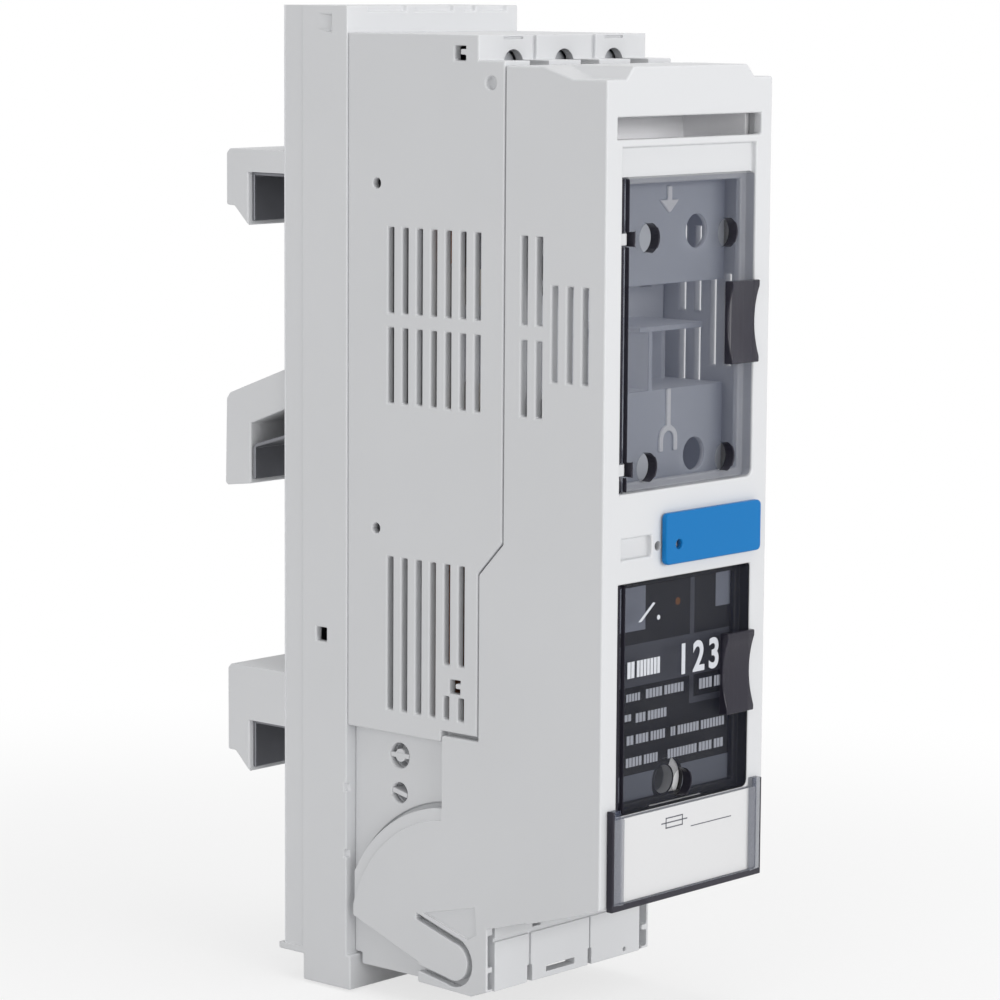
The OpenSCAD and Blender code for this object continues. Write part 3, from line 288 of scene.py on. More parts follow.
def moulded_plastic(name, shade, rough=0.46, grain=0.10, gloss=0.5):
    """Satin moulded plastic: slow flow marks, a fine spark-eroded grain, and edges a little paler, partly rubbed
    and partly a painted highlight.
    """
    s = Shader(bpy.data.materials.new(name))
    flow = s.noise(28.0, 3.0)
    grit = s.noise(5200.0, 2.0)
    smudge = s.noise(150.0, 3.0, 0.6)
    # Painted highlight along sharp edges, broken up by smudge noise: paler colour and lower roughness, also
    # standing for slight rubbing.
    rubbed_and_sheen = s.edge_wear_and_sheen(0.5 * MM) * smudge
    body = s.blend(flow, opaque(shade, 0.965), opaque(shade, 1.03))
    return s.surface({
        "Base Color": s.blend(rubbed_and_sheen, body, opaque(shade, 1.14)),
        "Roughness": rough - 0.08 + 0.10 * smudge + 0.06 * grit - 0.10 * rubbed_and_sheen,
        "Normal": s.bump(grit, grain, 0.04 * MM),
        "IOR": 1.5,
        "Specular IOR Level": gloss,
    })


def smoke_plastic(name, shade, alpha, rough=0.07, gloss=0.25):
    """Clear smoke-tinted plastic with faint haze and wipe marks."""
    s = Shader(bpy.data.materials.new(name))
    haze = s.noise(60.0, 3.0)
    wipe = s.noise(900.0, 2.0)
    made = s.surface({
        "Base Color": s.blend(haze, opaque(shade, 0.92), opaque(shade, 1.08)),
        "Roughness": rough + 0.05 * haze,
        "Alpha": alpha - 0.02 + 0.04 * haze,
        "Normal": s.bump(wipe, 0.02, 0.02 * MM),
        "IOR": 1.49,
        "Specular IOR Level": gloss,
    })
    return made


def plated_metal(name, shade, rough, streak=(900.0, 900.0, 90.0), dull=0.12):
    """Bare or plated metal with drawn streaks and dull spots."""
    s = Shader(bpy.data.materials.new(name))
    drawn = s.node("ShaderNodeMapping", None, {"Vector": s.place(), "Scale": streak})
    lines = s.node("ShaderNodeTexNoise", None, {"Vector": drawn, "Scale": 1.0, "Detail": 3.0})
    spots = s.noise(220.0, 3.0)
    return s.surface({
        "Base Color": s.blend(spots, opaque(shade, 0.86), opaque(shade, 1.06)),
        "Metallic": 1.0,
        "Roughness": rough - dull / 2 + dull * spots + 0.08 * lines,
        "Normal": s.bump(lines, 0.12, 0.03 * MM),
    })


def fired_ceramic(name, shade):
    """Fired ceramic with a soft glaze and fine pores."""
    s = Shader(bpy.data.materials.new(name))
    pores = s.noise(1800.0, 3.0)
    cloud = s.noise(80.0, 2.0)
    return s.surface({
        "Base Color": s.blend(cloud, opaque(shade, 0.94), opaque(shade, 1.02)),
        "Roughness": 0.34 + 0.14 * pores,
        "Normal": s.bump(pores, 0.08, 0.05 * MM),
    })


def paper_card(name, shade):
    """Uncoated white card with fibres."""
    s = Shader(bpy.data.materials.new(name))
    fibre = s.noise(2600.0, 4.0, 0.7)
    return s.surface({
        "Base Color": s.blend(fibre, opaque(shade, 0.965), opaque(shade, 1.02)),
        "Roughness": 0.78 + 0.1 * fibre,
        "Normal": s.bump(fibre, 0.1, 0.03 * MM),
    })


def printed_ink(name, shade):
    """Slightly uneven screen-printed ink."""
    s = Shader(bpy.data.materials.new(name))
    wear = s.noise(1500.0, 3.0)
    return s.surface({
        "Base Color": s.blend(wear, opaque(shade, 0.88), opaque(shade, 1.04)),
        "Roughness": 0.5 + 0.1 * wear,
    })


def stock(name, maker, *values):
    """One shared material, made the first time it is asked for."""
    return bpy.data.materials.get(name) or maker(name, *values)


def finish_of(slot):
    """The material of one of the record's slots."""
    f = finish_settings()
    makers = {
        "case_plastic": lambda: stock("case_plastic_finish", moulded_plastic, tuple(f.case)),
        "base_plastic": lambda: stock("base_plastic_finish", moulded_plastic, tuple(f.base)),
        "inner_plastic": lambda: stock("inner_plastic_finish", moulded_plastic, tuple(f.inner), 0.52),
        "smoke_plastic": lambda: stock("smoke_plastic_finish", smoke_plastic, tuple(f.smoke), f.pane_cover),
        "painted_light_plastic": lambda: stock("raised_mark_finish", moulded_plastic, tuple(f.raised), 0.52),
        "black_plastic": lambda: stock("black_plastic_finish", moulded_plastic, tuple(f.plate), 0.5, 0.02),
        "blue_plastic": lambda: stock("blue_plastic_finish", moulded_plastic, tuple(f.tab), 0.4, 0.08, 0.2),
        "card": lambda: stock("card_finish", paper_card, tuple(f.card)),
        "ceramic": lambda: stock("ceramic_finish", fired_ceramic, tuple(f.ceramic)),
        "copper": lambda: stock("copper_finish", plated_metal, tuple(f.copper), 0.34),
        "tinned_metal": lambda: stock("tinned_metal_finish", plated_metal, tuple(f.tin), 0.42),
        "steel": lambda: stock("steel_finish", plated_metal, tuple(f.steel), 0.34),
    }
    return makers[slot]()


def paint(piece, material):
    """Gives a piece one material."""
    piece.data.materials.clear()
    piece.data.materials.append(material)


def paint_faces(piece, material, chosen):
    """Gives the faces that a test chooses another material."""
    piece.data.materials.append(material)
    last = len(piece.data.materials) - 1
    for face in piece.data.polygons:
        if chosen(face):
            face.material_index = last


def nearest_on(point, start, end):
    """Distance from a point to a straight edge."""
    spot, share = intersect_point_line(point, start, end)
    share = min(1.0, max(0.0, share))
    return (start + (end - start) * share - point).length


def heading(edge):
    """The direction of an edge."""
    return (edge.verts[1].co - edge.verts[0].co).normalized()


def middle(edge):
    """The point half way along an edge."""
    return (edge.verts[0].co + edge.verts[1].co) / 2


def runs_of(edges):
    """For each sharp edge, the one that stands for its run of edges that bend gently into each other."""
    bends, straight = math.cos(math.radians(60)), math.cos(math.radians(0.5))
    leader = {edge: edge for edge in edges}

    def lead(edge):
        while leader[edge] is not edge:
            edge = leader[edge]
        return edge

    for corner in {corner for edge in edges for corner in edge.verts}:
        meeting = [edge for edge in corner.link_edges if edge in leader]
        for place, first in enumerate(meeting):
            away = (first.other_vert(corner).co - corner.co).normalized()
            for second in meeting[:place]:
                onward = (second.other_vert(corner).co - corner.co).normalized()
                turn = -away.dot(onward)
                if bends < turn < straight or turn >= straight and len(meeting) == 2:
                    leader[lead(first)] = lead(second)
    return {edge: lead(edge) for edge in edges}


def edge_room(edge, runs):
    """How much room the faces beside an edge leave for rounding it."""
    start, end = (corner.co for corner in edge.verts)
    room = 1.0
    for face in edge.link_faces:
        for other in face.edges:
            if other is edge or set(other.verts) & set(edge.verts):
                continue
            if other.is_manifold and other.calc_face_angle(0) < FLAT:
                continue
            apart = (middle(other) - middle(edge)).normalized()
            ahead = abs(heading(edge).dot(apart)) > 0.7 and abs(heading(edge).dot(heading(other))) > 0.5
            if ahead and runs.get(other) is runs[edge]:
                continue
            for share in (0.02, 0.5, 0.98):
                point = start + (end - start) * share
                room = min(room, nearest_on(point, other.verts[0].co, other.verts[1].co))
            for corner in other.verts:
                room = min(room, nearest_on(corner.co, start, end))
    for corner in edge.verts:
        along = (edge.other_vert(corner).co - corner.co).normalized()
        for other in corner.link_edges:
            if other is edge:
                continue
            lead = (other.other_vert(corner).co - corner.co).normalized()
            if abs(lead.dot(along)) < 0.8:
                room = min(room, other.calc_length())
    return room


def flat_regions(work):
    """Groups of touching faces that lie in one plane."""
    todo = set(work.faces)
    while todo:
        region = [todo.pop()]
        for face in region:
            for edge in face.edges:
                if edge.is_manifold and edge.calc_face_angle(0) < FLAT:
                    fresh = [other for other in edge.link_faces if other in todo]
                    todo.difference_update(fresh)
                    region.extend(fresh)
        yield region


def rims(region):
    """The closed edges of a flat region, each as a list of points, the widest first."""
    inside = set(region)
    left = {edge for face in region for edge in face.edges
            if sum(other in inside for other in edge.link_faces) == 1}
    found = []
    while left:
        rim = [left.pop()]
        for edge in rim:
            near = {other for corner in edge.verts for other in corner.link_edges} & left
            left -= near
            rim.extend(near)
        found.append([corner.co.copy() for edge in rim for corner in edge.verts])
    return sorted(found, key=lambda points: max((point - points[0]).length for point in points), reverse=True)


def hole_cuts(work):
    """Planes through every hole in a flat face, kept away from the edges that lie along them."""
    clear, level = 0.8 * MM, 0.001 * MM
    ledges = {0: [], 2: []}
    for edge in work.edges:
        if edge.is_manifold and edge.calc_face_angle(0) > SHARP:
            start, end = (corner.co for corner in edge.verts)
            for axis, found in ledges.items():
                if abs(start[axis] - end[axis]) < level:
                    found.append(start[axis])
    chosen = {0: [], 2: []}
    for region in flat_regions(work):
        axis = 0 if abs(region[0].normal.z) > 0.7 else 2
        for rim in rims(region)[1:]:
            low, high = min(point[axis] for point in rim), max(point[axis] for point in rim)
            middle, quarter = (low + high) / 2, (high - low) / 4
            if any(abs(middle - place) <= quarter for place in chosen[axis]):
                continue
            places = [middle + quarter * step / 4 for step in (0, 1, -1, 2, -2, 3, -3, 4, -4)]
            room = [min([clear] + [abs(place - ledge) for ledge in ledges[axis]]) for place in places]
            chosen[axis].append(places[room.index(max(room))])
    return ([((place, 0, 0), (1, 0, 0)) for place in chosen[0]]
            + [((0, 0, place), (0, 0, 1)) for place in chosen[2]])


def rounded_copy(node, name, radius, steps, cuts=()):
    """A copy of a CAD node's mesh with its sharp edges rounded, each as far as its faces leave room.

    Each cut, a point and a direction, splits the faces that it crosses, so that they can take two finishes.
    """
    weld, snap, share = 0.002 * MM, 0.02 * MM, 0.35
    work = bmesh.new()
    work.from_mesh(NODES[node].data)
    bmesh.ops.remove_doubles(work, verts=work.verts, dist=weld)
    for place, facing in hole_cuts(work) + list(cuts):
        made = bmesh.ops.bisect_plane(work, geom=work.verts[:] + work.edges[:] + work.faces[:], dist=snap,
                                      plane_co=place, plane_no=facing)
        for item in made["geom_cut"]:
            if isinstance(item, bmesh.types.BMEdge):
                item.seam = True
    bmesh.ops.dissolve_limit(work, angle_limit=FLAT / 2, use_dissolve_boundaries=False,
                             verts=work.verts, edges=work.edges, delimit={"SEAM"})
    weight = work.edges.layers.float.new("bevel_weight_edge")
    sharp = [edge for edge in work.edges if edge.is_manifold and edge.calc_face_angle(0) > SHARP]
    runs = runs_of(sharp)
    room = {}
    for edge in sharp:
        room[runs[edge]] = min(room.get(runs[edge], radius / share), edge_room(edge, runs))
    for edge in sharp:
        edge[weight] = share * room[runs[edge]] / radius
        edge.smooth = edge[weight] > 0.02
    for face in work.faces:
        face.smooth = True
    plain = bpy.data.meshes.new(name + "_plain")
    work.to_mesh(plain)
    work.free()
    piece = bpy.data.objects.new(name, plain)
    bpy.context.scene.collection.objects.link(piece)
    bevel = piece.modifiers.new("edges", "BEVEL")
    bevel.limit_method = "WEIGHT"
    bevel.width = radius
    bevel.segments = steps
    bevel.use_clamp_overlap = False
    bevel.face_strength_mode = "FSTR_ALL"
    even = piece.modifiers.new("shading", "WEIGHTED_NORMAL")
    even.use_face_influence = True
    even.keep_sharp = True
    ready = bpy.context.evaluated_depsgraph_get()
    mesh = bpy.data.meshes.new_from_object(piece.evaluated_get(ready), preserve_all_data_layers=True,
                                           depsgraph=ready)
    mesh.name = name
    piece.modifiers.clear()
    piece.data = mesh
    bpy.data.meshes.remove(plain)
    return piece


def body_of(node):
    """The CAD body that a node belongs to."""
    return NODES[node]["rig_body"]


def slot_of(node):
    """The record's material slot of a node."""
    for part in frame["record"]["subparts"]:
        if part["node"] == node:
            return part["material_slot"]
    raise RuntimeError("no slot for " + node)


def dress_rounded(node, radius, cuts=()):
    """Stands a rounded copy in for a node, with the finish of the node's slot."""
    piece = rounded_copy(node, node + "_moulding", radius, shape_settings().edge_steps, cuts)
    slot = slot_of(node)
    paint(piece, finish_of(slot))
    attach(piece, body_of(node))
    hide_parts(node)
    return piece


def dress_plain(node):
    """Gives a CAD node the finish of its slot."""
    paint(NODES[node], finish_of(slot_of(node)))


def numbered(*names):
    """The names of the three poles' nodes."""
    return [f"{name}_{pole}" for name in names for pole in (1, 2, 3)]


def mesh_piece(name, work, material, body, slot):
    """Makes a piece from a bmesh, and rides it on a body."""
    mesh = bpy.data.meshes.new(name)
    work.to_mesh(mesh)
    work.free()
    piece = bpy.data.objects.new(name, mesh)
    bpy.context.scene.collection.objects.link(piece)
    paint(piece, material)
    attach(piece, body)
    return piece


class FUSESWITCH_OT_case(bpy.types.Operator):
    """Rounds and finishes the housing, the lid and their small mouldings"""

    bl_idname = "fuse_switch.case"
    bl_label = "Case and lid"

    def execute(self, context):
        sizes = shape_settings()
        dress_rounded("housing", sizes.edge)
        self.lid(sizes.edge)
        dress_rounded("side_screws", sizes.fine_edge)
        # Painted light: the grip pocket is painted near white, so that its deep inside reads as lit.
        paint(dress_rounded("grip_pocket", sizes.fine_edge), finish_of("painted_light_plastic"))
        return {"FINISHED"}

    def lid(self, edge):
        shell = dress_rounded("lid_shell", edge)
        low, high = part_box("lower_window")
        front, back, room = high.y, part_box("rating_plate")[1].y, 0.8 * MM

        def seat(face):
            across, deep, up = face.center
            if not (low.x < across < high.x + room and low.z - room < up < high.z + room):
                return False
            wall = abs(face.normal.y) < 0.5 and deep > LID_FRONT + PANE_IN
            return deep < back + GUIDE_IN + room / 4 and (wall or deep > front - room)

        paint_faces(shell, finish_of("black_plastic"), seat)


class FUSESWITCH_OT_adapter(bpy.types.Operator):
    """Rounds and finishes the adapter base, the latch hook and the bottom cover"""

    bl_idname = "fuse_switch.adapter"
    bl_label = "Adapter base"

    def execute(self, context):
        sizes = shape_settings()
        for node in ("adapter_base", "latch_hook"):
            dress_rounded(node, sizes.edge)
        dress_rounded("bottom_cover", sizes.fine_edge)
        return {"FINISHED"}


class FUSESWITCH_OT_insulators(bpy.types.Operator):
    """Finishes the carrier, the contact deck and the terminal block"""

    bl_idname = "fuse_switch.insulators"
    bl_label = "Inner mouldings"

    def execute(self, context):
        sizes = shape_settings()
        for node in ("contact_deck", "terminal_block"):
            dress_rounded(node, sizes.fine_edge)
        self.carrier(sizes.fine_edge)
        return {"FINISHED"}

    def carrier(self, fine):
        f = finish_settings()
        relief = 0.6 * MM
        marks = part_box("fuse_carrier")[0].y
        carrier = dress_rounded("fuse_carrier", fine)
        # Painted light on the deep bay and back, painted shade on the darker front panels.
        paint(carrier, stock("carrier_finish", moulded_plastic, tuple(f.bay_painted_light), 0.52))
        panel = stock("carrier_panel_finish", moulded_plastic, tuple(f.panel), 0.52)
        paint_faces(carrier, panel, lambda face: face.center.y < marks + 1.5 * relief)
        # Painted highlight: the tops of the raised marks are painted near white.
        paint_faces(carrier, finish_of("painted_light_plastic"), lambda face: face.center.y < marks + relief / 2)


class FUSESWITCH_OT_metalwork(bpy.types.Operator):
    """Finishes the contacts, strips, cradles, clamps, springs and screws"""

    bl_idname = "fuse_switch.metalwork"
    bl_label = "Metalwork"

    def execute(self, context):
        sizes = shape_settings()
        for node in numbered("busbar_contact", "line_strip", "upper_cradle", "lower_cradle",
                             "line_clamp", "load_clamp"):
            dress_rounded(node, sizes.fine_edge)
        for node in ("housing_screws", "deck_screws", "line_clamp_screws", "load_clamp_screws"):
            dress_rounded(node, sizes.fine_edge)
        dress_plain("latch_springs")
        return {"FINISHED"}


class FUSESWITCH_OT_links(bpy.types.Operator):
    """Finishes the three fuse links"""

    bl_idname = "fuse_switch.links"
    bl_label = "Fuse links"

    def execute(self, context):
        sizes = shape_settings()
        for node in numbered("fuse_tube", "fuse_caps"):
            dress_rounded(node, sizes.fine_edge)
        for node in numbered("fuse_element"):
            dress_plain(node)
        return {"FINISHED"}


class FUSESWITCH_OT_panes(bpy.types.Operator):
    """Rounds and tints the two hinged windows and the label holder"""

    bl_idname = "fuse_switch.panes"
    bl_label = "Windows and label holder"

    def execute(self, context):
        f = finish_settings()
        fine = shape_settings().fine_edge
        # Deep tint of cut edges, also painted shade: it is put only on faces turned to the left, and on the
        # holder's outer rim.
        edge = stock("smoke_edge_finish", smoke_plastic, tuple(f.smoke_edge), 0.98, 0.16)
        pull = stock("pull_finish", smoke_plastic, tuple(f.pull), 0.86, 0.12)
        haze = stock("haze_finish", smoke_plastic, tuple(f.haze), f.pane_cover)
        proud = LID_FRONT + PANE_IN / 2
        for node in ("upper_window", "lower_window"):
            pane = dress_rounded(node, fine, [((0, proud, 0), (0, 1, 0))])
            if node == "upper_window":
                paint(pane, haze)
            paint_faces(pane, pull, lambda face: face.center.y < proud)
            # Faces turned to the left, the holes' inner walls and the pulls' left sides, are painted dark: edge
            # tint with painted shade.
            paint_faces(pane, edge, lambda face: face.normal.x < -0.3)
        self.label_holder(fine, edge)
        return {"FINISHED"}

    def label_holder(self, fine, edge):
        f = finish_settings()
        low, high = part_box("label_holder")
        wall, lip = 0.6 * MM, 1.4 * MM
        sides, foot = high.x - wall, low.z + lip
        cuts = [((sides, 0, 0), (1, 0, 0)), ((-sides, 0, 0), (1, 0, 0)), ((0, 0, foot), (0, 0, 1))]
        holder = dress_rounded("label_holder", fine, cuts)
        paint(holder, stock("flange_finish", smoke_plastic, tuple(f.haze), f.flange_cover))

        # The holder's left outer wall and the front rim beyond its flanges are painted dark: edge tint with
        # painted shade.
        def outer(face):
            if face.normal.x < -0.3:
                return face.center.x < -sides
            return face.normal.y < -0.5 and (abs(face.center.x) > sides or face.center.z < foot)

        paint_faces(holder, edge, outer)


class FUSESWITCH_OT_front(bpy.types.Operator):
    """Finishes the sealing slide, the black plate and the card"""

    bl_idname = "fuse_switch.front"
    bl_label = "Slide, plate and card"

    def execute(self, context):
        sizes = shape_settings()
        dress_rounded("seal_slider", sizes.edge)
        for node in ("rating_plate", "label_card"):
            dress_rounded(node, sizes.fine_edge)
        return {"FINISHED"}


def bar(left, right, foot, top):
    """The outline of a straight block, in mm across and up."""
    return [(left, foot), (right, foot), (right, top), (left, top)]


def words(left, foot, height, *widths):
    """Outlines of a row of groups of small plain blocks, with a wider gap between each two groups."""
    wide, narrow, block = 0.8, 0.22, 0.8
    row = []
    for width in widths:
        count = max(1, round((width + narrow) / (block + narrow)))
        pitch = (width + narrow) / count
        starts = [left + pitch * place for place in range(count)]
        row += [bar(start, start + pitch - narrow, foot, foot + height) for start in starts]
        left += width + wide
    return row


def disc(x, z, radius, sides=24):
    """The outline of a round dot."""
    turns = [2 * math.pi * side / sides for side in range(sides)]
    return [(x + radius * math.cos(turn), z + radius * math.sin(turn)) for turn in turns]


def beside_notch(side, foot, top):
    """The outline of a band from one side of the plate to the round notch for the probe."""
    x, z = PROBE
    notch, steps = 5.1, 10
    turn = math.copysign(1, side)
    start, end = math.asin((foot - z) / notch), math.asin((top - z) / notch)
    angles = [start + (end - start) * step / steps for step in range(steps + 1)]
    arc = [(x + turn * notch * math.cos(angle), z + notch * math.sin(angle)) for angle in angles]
    outline = [(side, foot)] + arc + [(side, top)]
    return outline if turn < 0 else outline[::-1]


def painted_light_crescent():
    """The outline of a pale patch of painted light beside the hole of the probe's guide."""
    x, z = PROBE
    inner, outer, half, steps = 3.2, 4.9, math.radians(62), 12
    angles = [half * (2 * step / steps - 1) for step in range(steps + 1)]
    near, far = ([(x + radius * math.cos(angle), z + radius * math.sin(angle)) for angle in angles]
                 for radius in (inner, outer))
    return far + near[::-1]


def add_mark(work, outline, face):
    """Adds one printed mark to a bmesh, standing on a face that looks forward."""
    front = face - shape_settings().ink_depth
    near = [work.verts.new((x * MM, front, z * MM)) for x, z in outline]
    far = [work.verts.new((x * MM, face, z * MM)) for x, z in outline]
    work.faces.new(near)
    work.faces.new(far[::-1])
    for here in range(len(outline)):
        there = here - 1
        work.faces.new((near[here], near[there], far[there], far[here]))


def add_figures(work, figures, left, right, foot, top, face):
    """Adds plain bold figures to a bmesh, drawn to fill a frame on a face that looks forward."""
    depth, bold, close = shape_settings().ink_depth, 0.025, 0.5
    curve = bpy.data.curves.new("figures", "FONT")
    curve.body = figures
    curve.offset = bold
    curve.space_word = close
    curve.extrude = 0.5
    holder = bpy.data.objects.new("figures", curve)
    bpy.context.scene.collection.objects.link(holder)
    ready = bpy.context.evaluated_depsgraph_get()
    mesh = bpy.data.meshes.new_from_object(holder.evaluated_get(ready), depsgraph=ready)
    low = [min(corner.co[axis] for corner in mesh.vertices) for axis in range(3)]
    high = [max(corner.co[axis] for corner in mesh.vertices) for axis in range(3)]
    across, up = (right - left) * MM / (high[0] - low[0]), (top - foot) * MM / (high[1] - low[1])
    fit = Matrix.Diagonal((across, up, depth, 1)) @ Matrix.Translation((-low[0], -low[1], 0))
    stand = Matrix.Translation((left * MM, face - depth / 2, foot * MM)) @ Matrix.Rotation(math.pi / 2, 4, "X")
    mesh.transform(stand @ fit)
    work.from_mesh(mesh)
    bpy.data.objects.remove(holder)
    bpy.data.curves.remove(curve)
    bpy.data.meshes.remove(mesh)


def print_piece(name, outlines, face, material, body, slot):
    """One piece that holds all the marks of one ink on one face."""
    work = bmesh.new()
    for outline in outlines:
        add_mark(work, outline, face)
    bmesh.ops.recalc_face_normals(work, faces=work.faces)
    return mesh_piece(name, work, material, body, slot)


class FUSESWITCH_OT_prints(bpy.types.Operator):
    """Prints the plain marks on the black plate, the lower window and the label card, with a band of painted
    shade and a crescent of painted light on the plate
    """

    bl_idname = "fuse_switch.prints"
    bl_label = "Prints"

    def execute(self, context):
        f = finish_settings()
        self.plate(f)
        self.pane(stock("ink_finish", printed_ink, tuple(f.ink)),
                  stock("row_ink_finish", printed_ink, tuple(f.row_ink)))
        self.card(stock("dark_ink_finish", printed_ink, tuple(f.dark_ink)))
        return {"FINISHED"}

    def plate(self, f):
        low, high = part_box("rating_plate")
        left, right, foot = low.x / MM + 0.3, high.x / MM - 0.3, low.z / MM + 0.3
        pale = [bar(left, -7.8, -21.6, -12.4), bar(15.4, right, -19.6, -12.4)]
        # Painted shade: grey-blue bands from the plate's sides to the probe's notch stand for white inner plastic
        # in shade.
        band = [beside_notch(side, foot, -51.6) for side in (left, right)]
        grey = [bar(left, right, -33.2, -24.4), bar(6.9, 8.3, -24.4, -12.4), bar(6.9, 8.3, -39.2, -33.2)]
        grey += [bar(8.3, 17.2, -39.2, -37.9)]
        for name, marks, shade, slot in (("plate_pale_print", pale, f.pale_ink, "inner_plastic"),
                                         ("plate_band_print", band, f.foot_painted_shade, "inner_plastic"),
                                         ("plate_grey_print", grey, f.grey_ink, "inner_plastic"),
                                         ("plate_lens_print", [disc(2.8, -17.0, 0.8)], f.amber, "copper")):
            ink = stock(name + "_finish", printed_ink, tuple(shade))
            print_piece(name, marks, low.y, ink, "lid", slot)
        # Painted light: a near-white crescent on the guide stands for its lit inside, seen through the pane's
        # test hole.
        bright = finish_of("painted_light_plastic")
        print_piece("guide_painted_light", [painted_light_crescent()], high.y + GUIDE_IN, bright, "lid", "inner_plastic")

    def pane(self, ink, grey):
        face = LID_FRONT + PANE_IN
        bright = [[(-14.9, -18.9), (-13.9, -18.9), (-9.5, -15.5), (-10.2, -15.3)], disc(-8.4, -18.6, 0.5)]
        bright += words(-18.2, -30.2, 3.4, 2.2, 7.4)
        rows = words(5.2, -35.4, 2.2, 4.2, 3.4)
        rows += words(-18.5, -35.0, 1.6, 4.4) + words(-12.2, -35.0, 1.9, 5.2, 6.2)
        rows += words(-18.9, -39.0, 1.4, 2.0) + words(-15.4, -39.6, 1.9, 3.1, 6.0)
        rows += words(-18.2, -44.0, 1.9, 2.1, 4.0, 4.6) + words(-4.0, -44.0, 1.9, 1.5, 6.9, 7.7)
        rows += words(-18.4, -48.6, 1.9, 5.0, 4.4) + words(-4.9, -48.6, 1.9, 9.5, 4.2, 3.0)
        print_piece("pane_rows", rows, face, grey, "lower_window", "card")
        work = bmesh.new()
        for outline in bright:
            add_mark(work, outline, face)
        add_figures(work, "1 2 3", -0.7, 11.6, -31.6, -25.0, face)
        bmesh.ops.remove_doubles(work, verts=work.verts, dist=0.0005 * MM)
        bmesh.ops.recalc_face_normals(work, faces=work.faces)
        mesh_piece("pane_print", work, ink, "lower_window", "card")

    def card(self, ink):
        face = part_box("label_card")[0].y
        thin = 0.25
        symbol = [bar(-8.0, 0.5, -61.8 - thin / 2, -61.8 + thin / 2)]
        symbol += [bar(-6.6, -1.0, top - thin, top) for top in (-60.7, -62.75)]
        symbol += [bar(side, side + thin, -63.0, -60.7) for side in (-6.6, -1.25)]
        symbol += [bar(1.7, 15.2, -63.8, -63.6)]
        print_piece("card_print", symbol, face, ink, "lid", "black_plastic")


def aim(place, target):
    """Turns a lamp at a place towards a target."""
    turn = (Vector(target) - Vector(place)).to_track_quat("-Z", "Y").to_matrix().to_4x4()
    return Matrix.Translation(place) @ turn


def lamp(name, place, target, width, height, power):
    """A soft lamp, aimed at a target."""
    light = bpy.data.lights.new(name, "AREA")
    light.shape = "RECTANGLE"
    light.size = width
    light.size_y = height
    light.energy = power
    holder = bpy.data.objects.new(name, light)
    holder.matrix_world = aim(place, target)
    bpy.context.scene.collection.objects.link(holder)
    return holder


def seen_directly(shader):
    """One where the camera, a reflection or a clear piece looks, and nought for other light."""
    path = [shader.node("ShaderNodeLightPath", output=name)
            for name in ("Is Camera Ray", "Is Glossy Ray", "Is Transmission Ray")]
    return shader.node("ShaderNodeClamp", None, {"Value": path[0] + path[1] + path[2]})


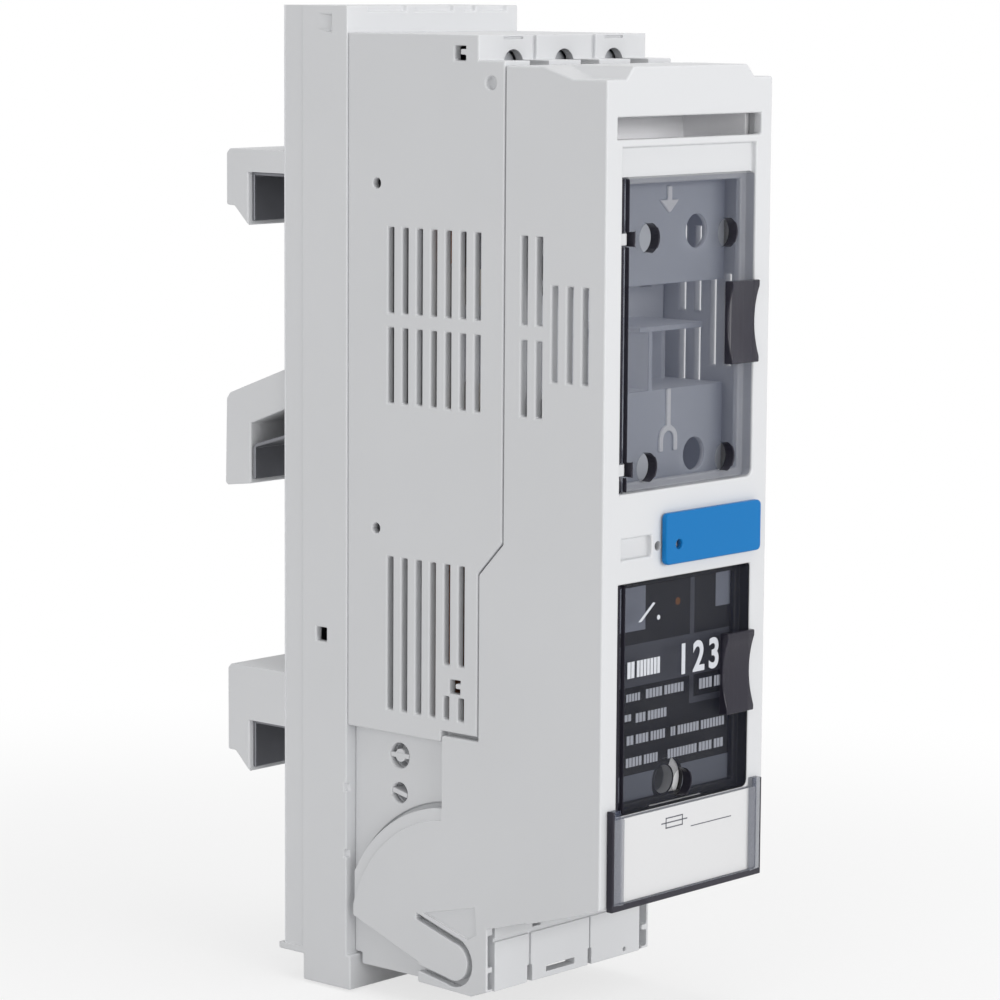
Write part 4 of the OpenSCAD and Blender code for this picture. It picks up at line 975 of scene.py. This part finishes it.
class FUSESWITCH_OT_stage(bpy.types.Operator):
    """Adds the floor, the lamps, the sky and the camera"""

    bl_idname = "fuse_switch.stage"
    bl_label = "Stage"

    def execute(self, context):
        stage = stage_settings()
        scene = context.scene
        self.floor()
        lamp("key_lamp", (0.05, -1.3, 0.29), (0, -0.04, 0.06), 1.4, 0.32, stage.key)
        lamp("fill_lamp", (-1.3, -0.3, 0.3), (0, -0.04, 0), 1.0, 1.0, stage.fill)
        lamp("top_lamp", (-0.1, -0.2, 1.3), (0, -0.04, 0), 1.0, 1.0, stage.top)
        self.sky(scene, stage.sky)
        self.camera(scene, stage)
        scene.view_settings.view_transform = "Standard"
        return {"FINISHED"}

    def floor(self):
        reach, level = 3.0, CAD_BOX[0][2] - 0.5 * MM
        near, beyond = 0.14, 0.34
        work = bmesh.new()
        corners = [work.verts.new((x * reach, y * reach, level)) for x, y in ((-1, -1), (1, -1), (1, 1), (-1, 1))]
        work.faces.new(corners)
        mesh = bpy.data.meshes.new("floor")
        work.to_mesh(mesh)
        work.free()
        floor = bpy.data.objects.new("floor", mesh)
        bpy.context.scene.collection.objects.link(floor)
        s = Shader(bpy.data.materials.new("floor_finish"))
        matt = s.node("ShaderNodeBsdfDiffuse", None, {"Color": (0.88, 0.88, 0.88, 1)})
        glow = s.node("ShaderNodeEmission", None, {"Color": (1, 1, 1, 1), "Strength": 1.0})
        away = s.node("ShaderNodeVectorMath", {"operation": "LENGTH"}, {0: s.place()}, output="Value")
        far = s.node("ShaderNodeMapRange", {"interpolation_type": "SMOOTHSTEP"},
                     {"Value": away, "From Min": near, "From Max": beyond, "To Min": 0.7, "To Max": 1.0})
        both = s.node("ShaderNodeMixShader", None, {0: far * seen_directly(s), 1: matt, 2: glow})
        s.node("ShaderNodeOutputMaterial", None, {"Surface": both})
        paint(floor, s.owner)

    def sky(self, scene, strength):
        world = bpy.data.worlds.new("studio")
        s = Shader(world)
        seen = seen_directly(s)
        light = s.node("ShaderNodeBackground", None,
                       {"Color": (1, 1, 1, 1), "Strength": strength + (1 - strength) * seen})
        s.node("ShaderNodeOutputWorld", None, {"Surface": light})
        scene.world = world

    def camera(self, scene, stage):
        data = bpy.data.cameras.new("photo_camera")
        data.lens = stage.lens
        data.sensor_width = 36
        data.clip_start = 0.01
        right = Vector((0.66372, -0.74797, 0.00651))
        up = Vector((0.09651, 0.09426, 0.99086))
        back = Vector((-0.74174, -0.65702, 0.13475))
        turn = Matrix((right, up, back)).transposed().to_4x4()
        camera = bpy.data.objects.new("photo_camera", data)
        camera.matrix_world = Matrix.Translation(stage.camera_at) @ turn
        scene.collection.objects.link(camera)
        scene.camera = camera


OPERATORS = (
    FUSESWITCH_OT_stage,
    FUSESWITCH_OT_case,
    FUSESWITCH_OT_adapter,
    FUSESWITCH_OT_insulators,
    FUSESWITCH_OT_metalwork,
    FUSESWITCH_OT_links,
    FUSESWITCH_OT_panes,
    FUSESWITCH_OT_front,
    FUSESWITCH_OT_prints,
)


class FUSESWITCH_PT_looks(bpy.types.Panel):
    """Lists the steps that build the looks"""

    bl_idname = "FUSESWITCH_PT_looks"
    bl_label = "Fuse Switch"
    bl_space_type = "VIEW_3D"
    bl_region_type = "UI"
    bl_category = "Fuse Switch"

    def draw(self, context):
        column = self.layout.column()
        for step in OPERATORS:
            column.operator(step.bl_idname)
        for settings in (finish_settings(), shape_settings(), stage_settings()):
            for name in settings.bl_rna.properties.keys():
                if name not in ("rna_type", "name"):
                    column.prop(settings, name)


SETTINGS = (
    ("fuse_switch_finish", FinishSettings),
    ("fuse_switch_shape", ShapeSettings),
    ("fuse_switch_stage", StageSettings),
)
CLASSES = tuple(group for name, group in SETTINGS) + OPERATORS + (FUSESWITCH_PT_looks,)


def register():
    for item in CLASSES:
        bpy.utils.register_class(item)
    for name, group in SETTINGS:
        setattr(bpy.types.Scene, name, PointerProperty(type=group))


def unregister():
    for name, group in SETTINGS:
        delattr(bpy.types.Scene, name)
    for item in reversed(CLASSES):
        bpy.utils.unregister_class(item)


def main():
    register()
    bpy.ops.fuse_switch.stage()
    bpy.ops.fuse_switch.case()
    bpy.ops.fuse_switch.adapter()
    bpy.ops.fuse_switch.insulators()
    bpy.ops.fuse_switch.metalwork()
    bpy.ops.fuse_switch.links()
    bpy.ops.fuse_switch.panes()
    bpy.ops.fuse_switch.front()
    bpy.ops.fuse_switch.prints()


if __name__ == "__main__":
    main()
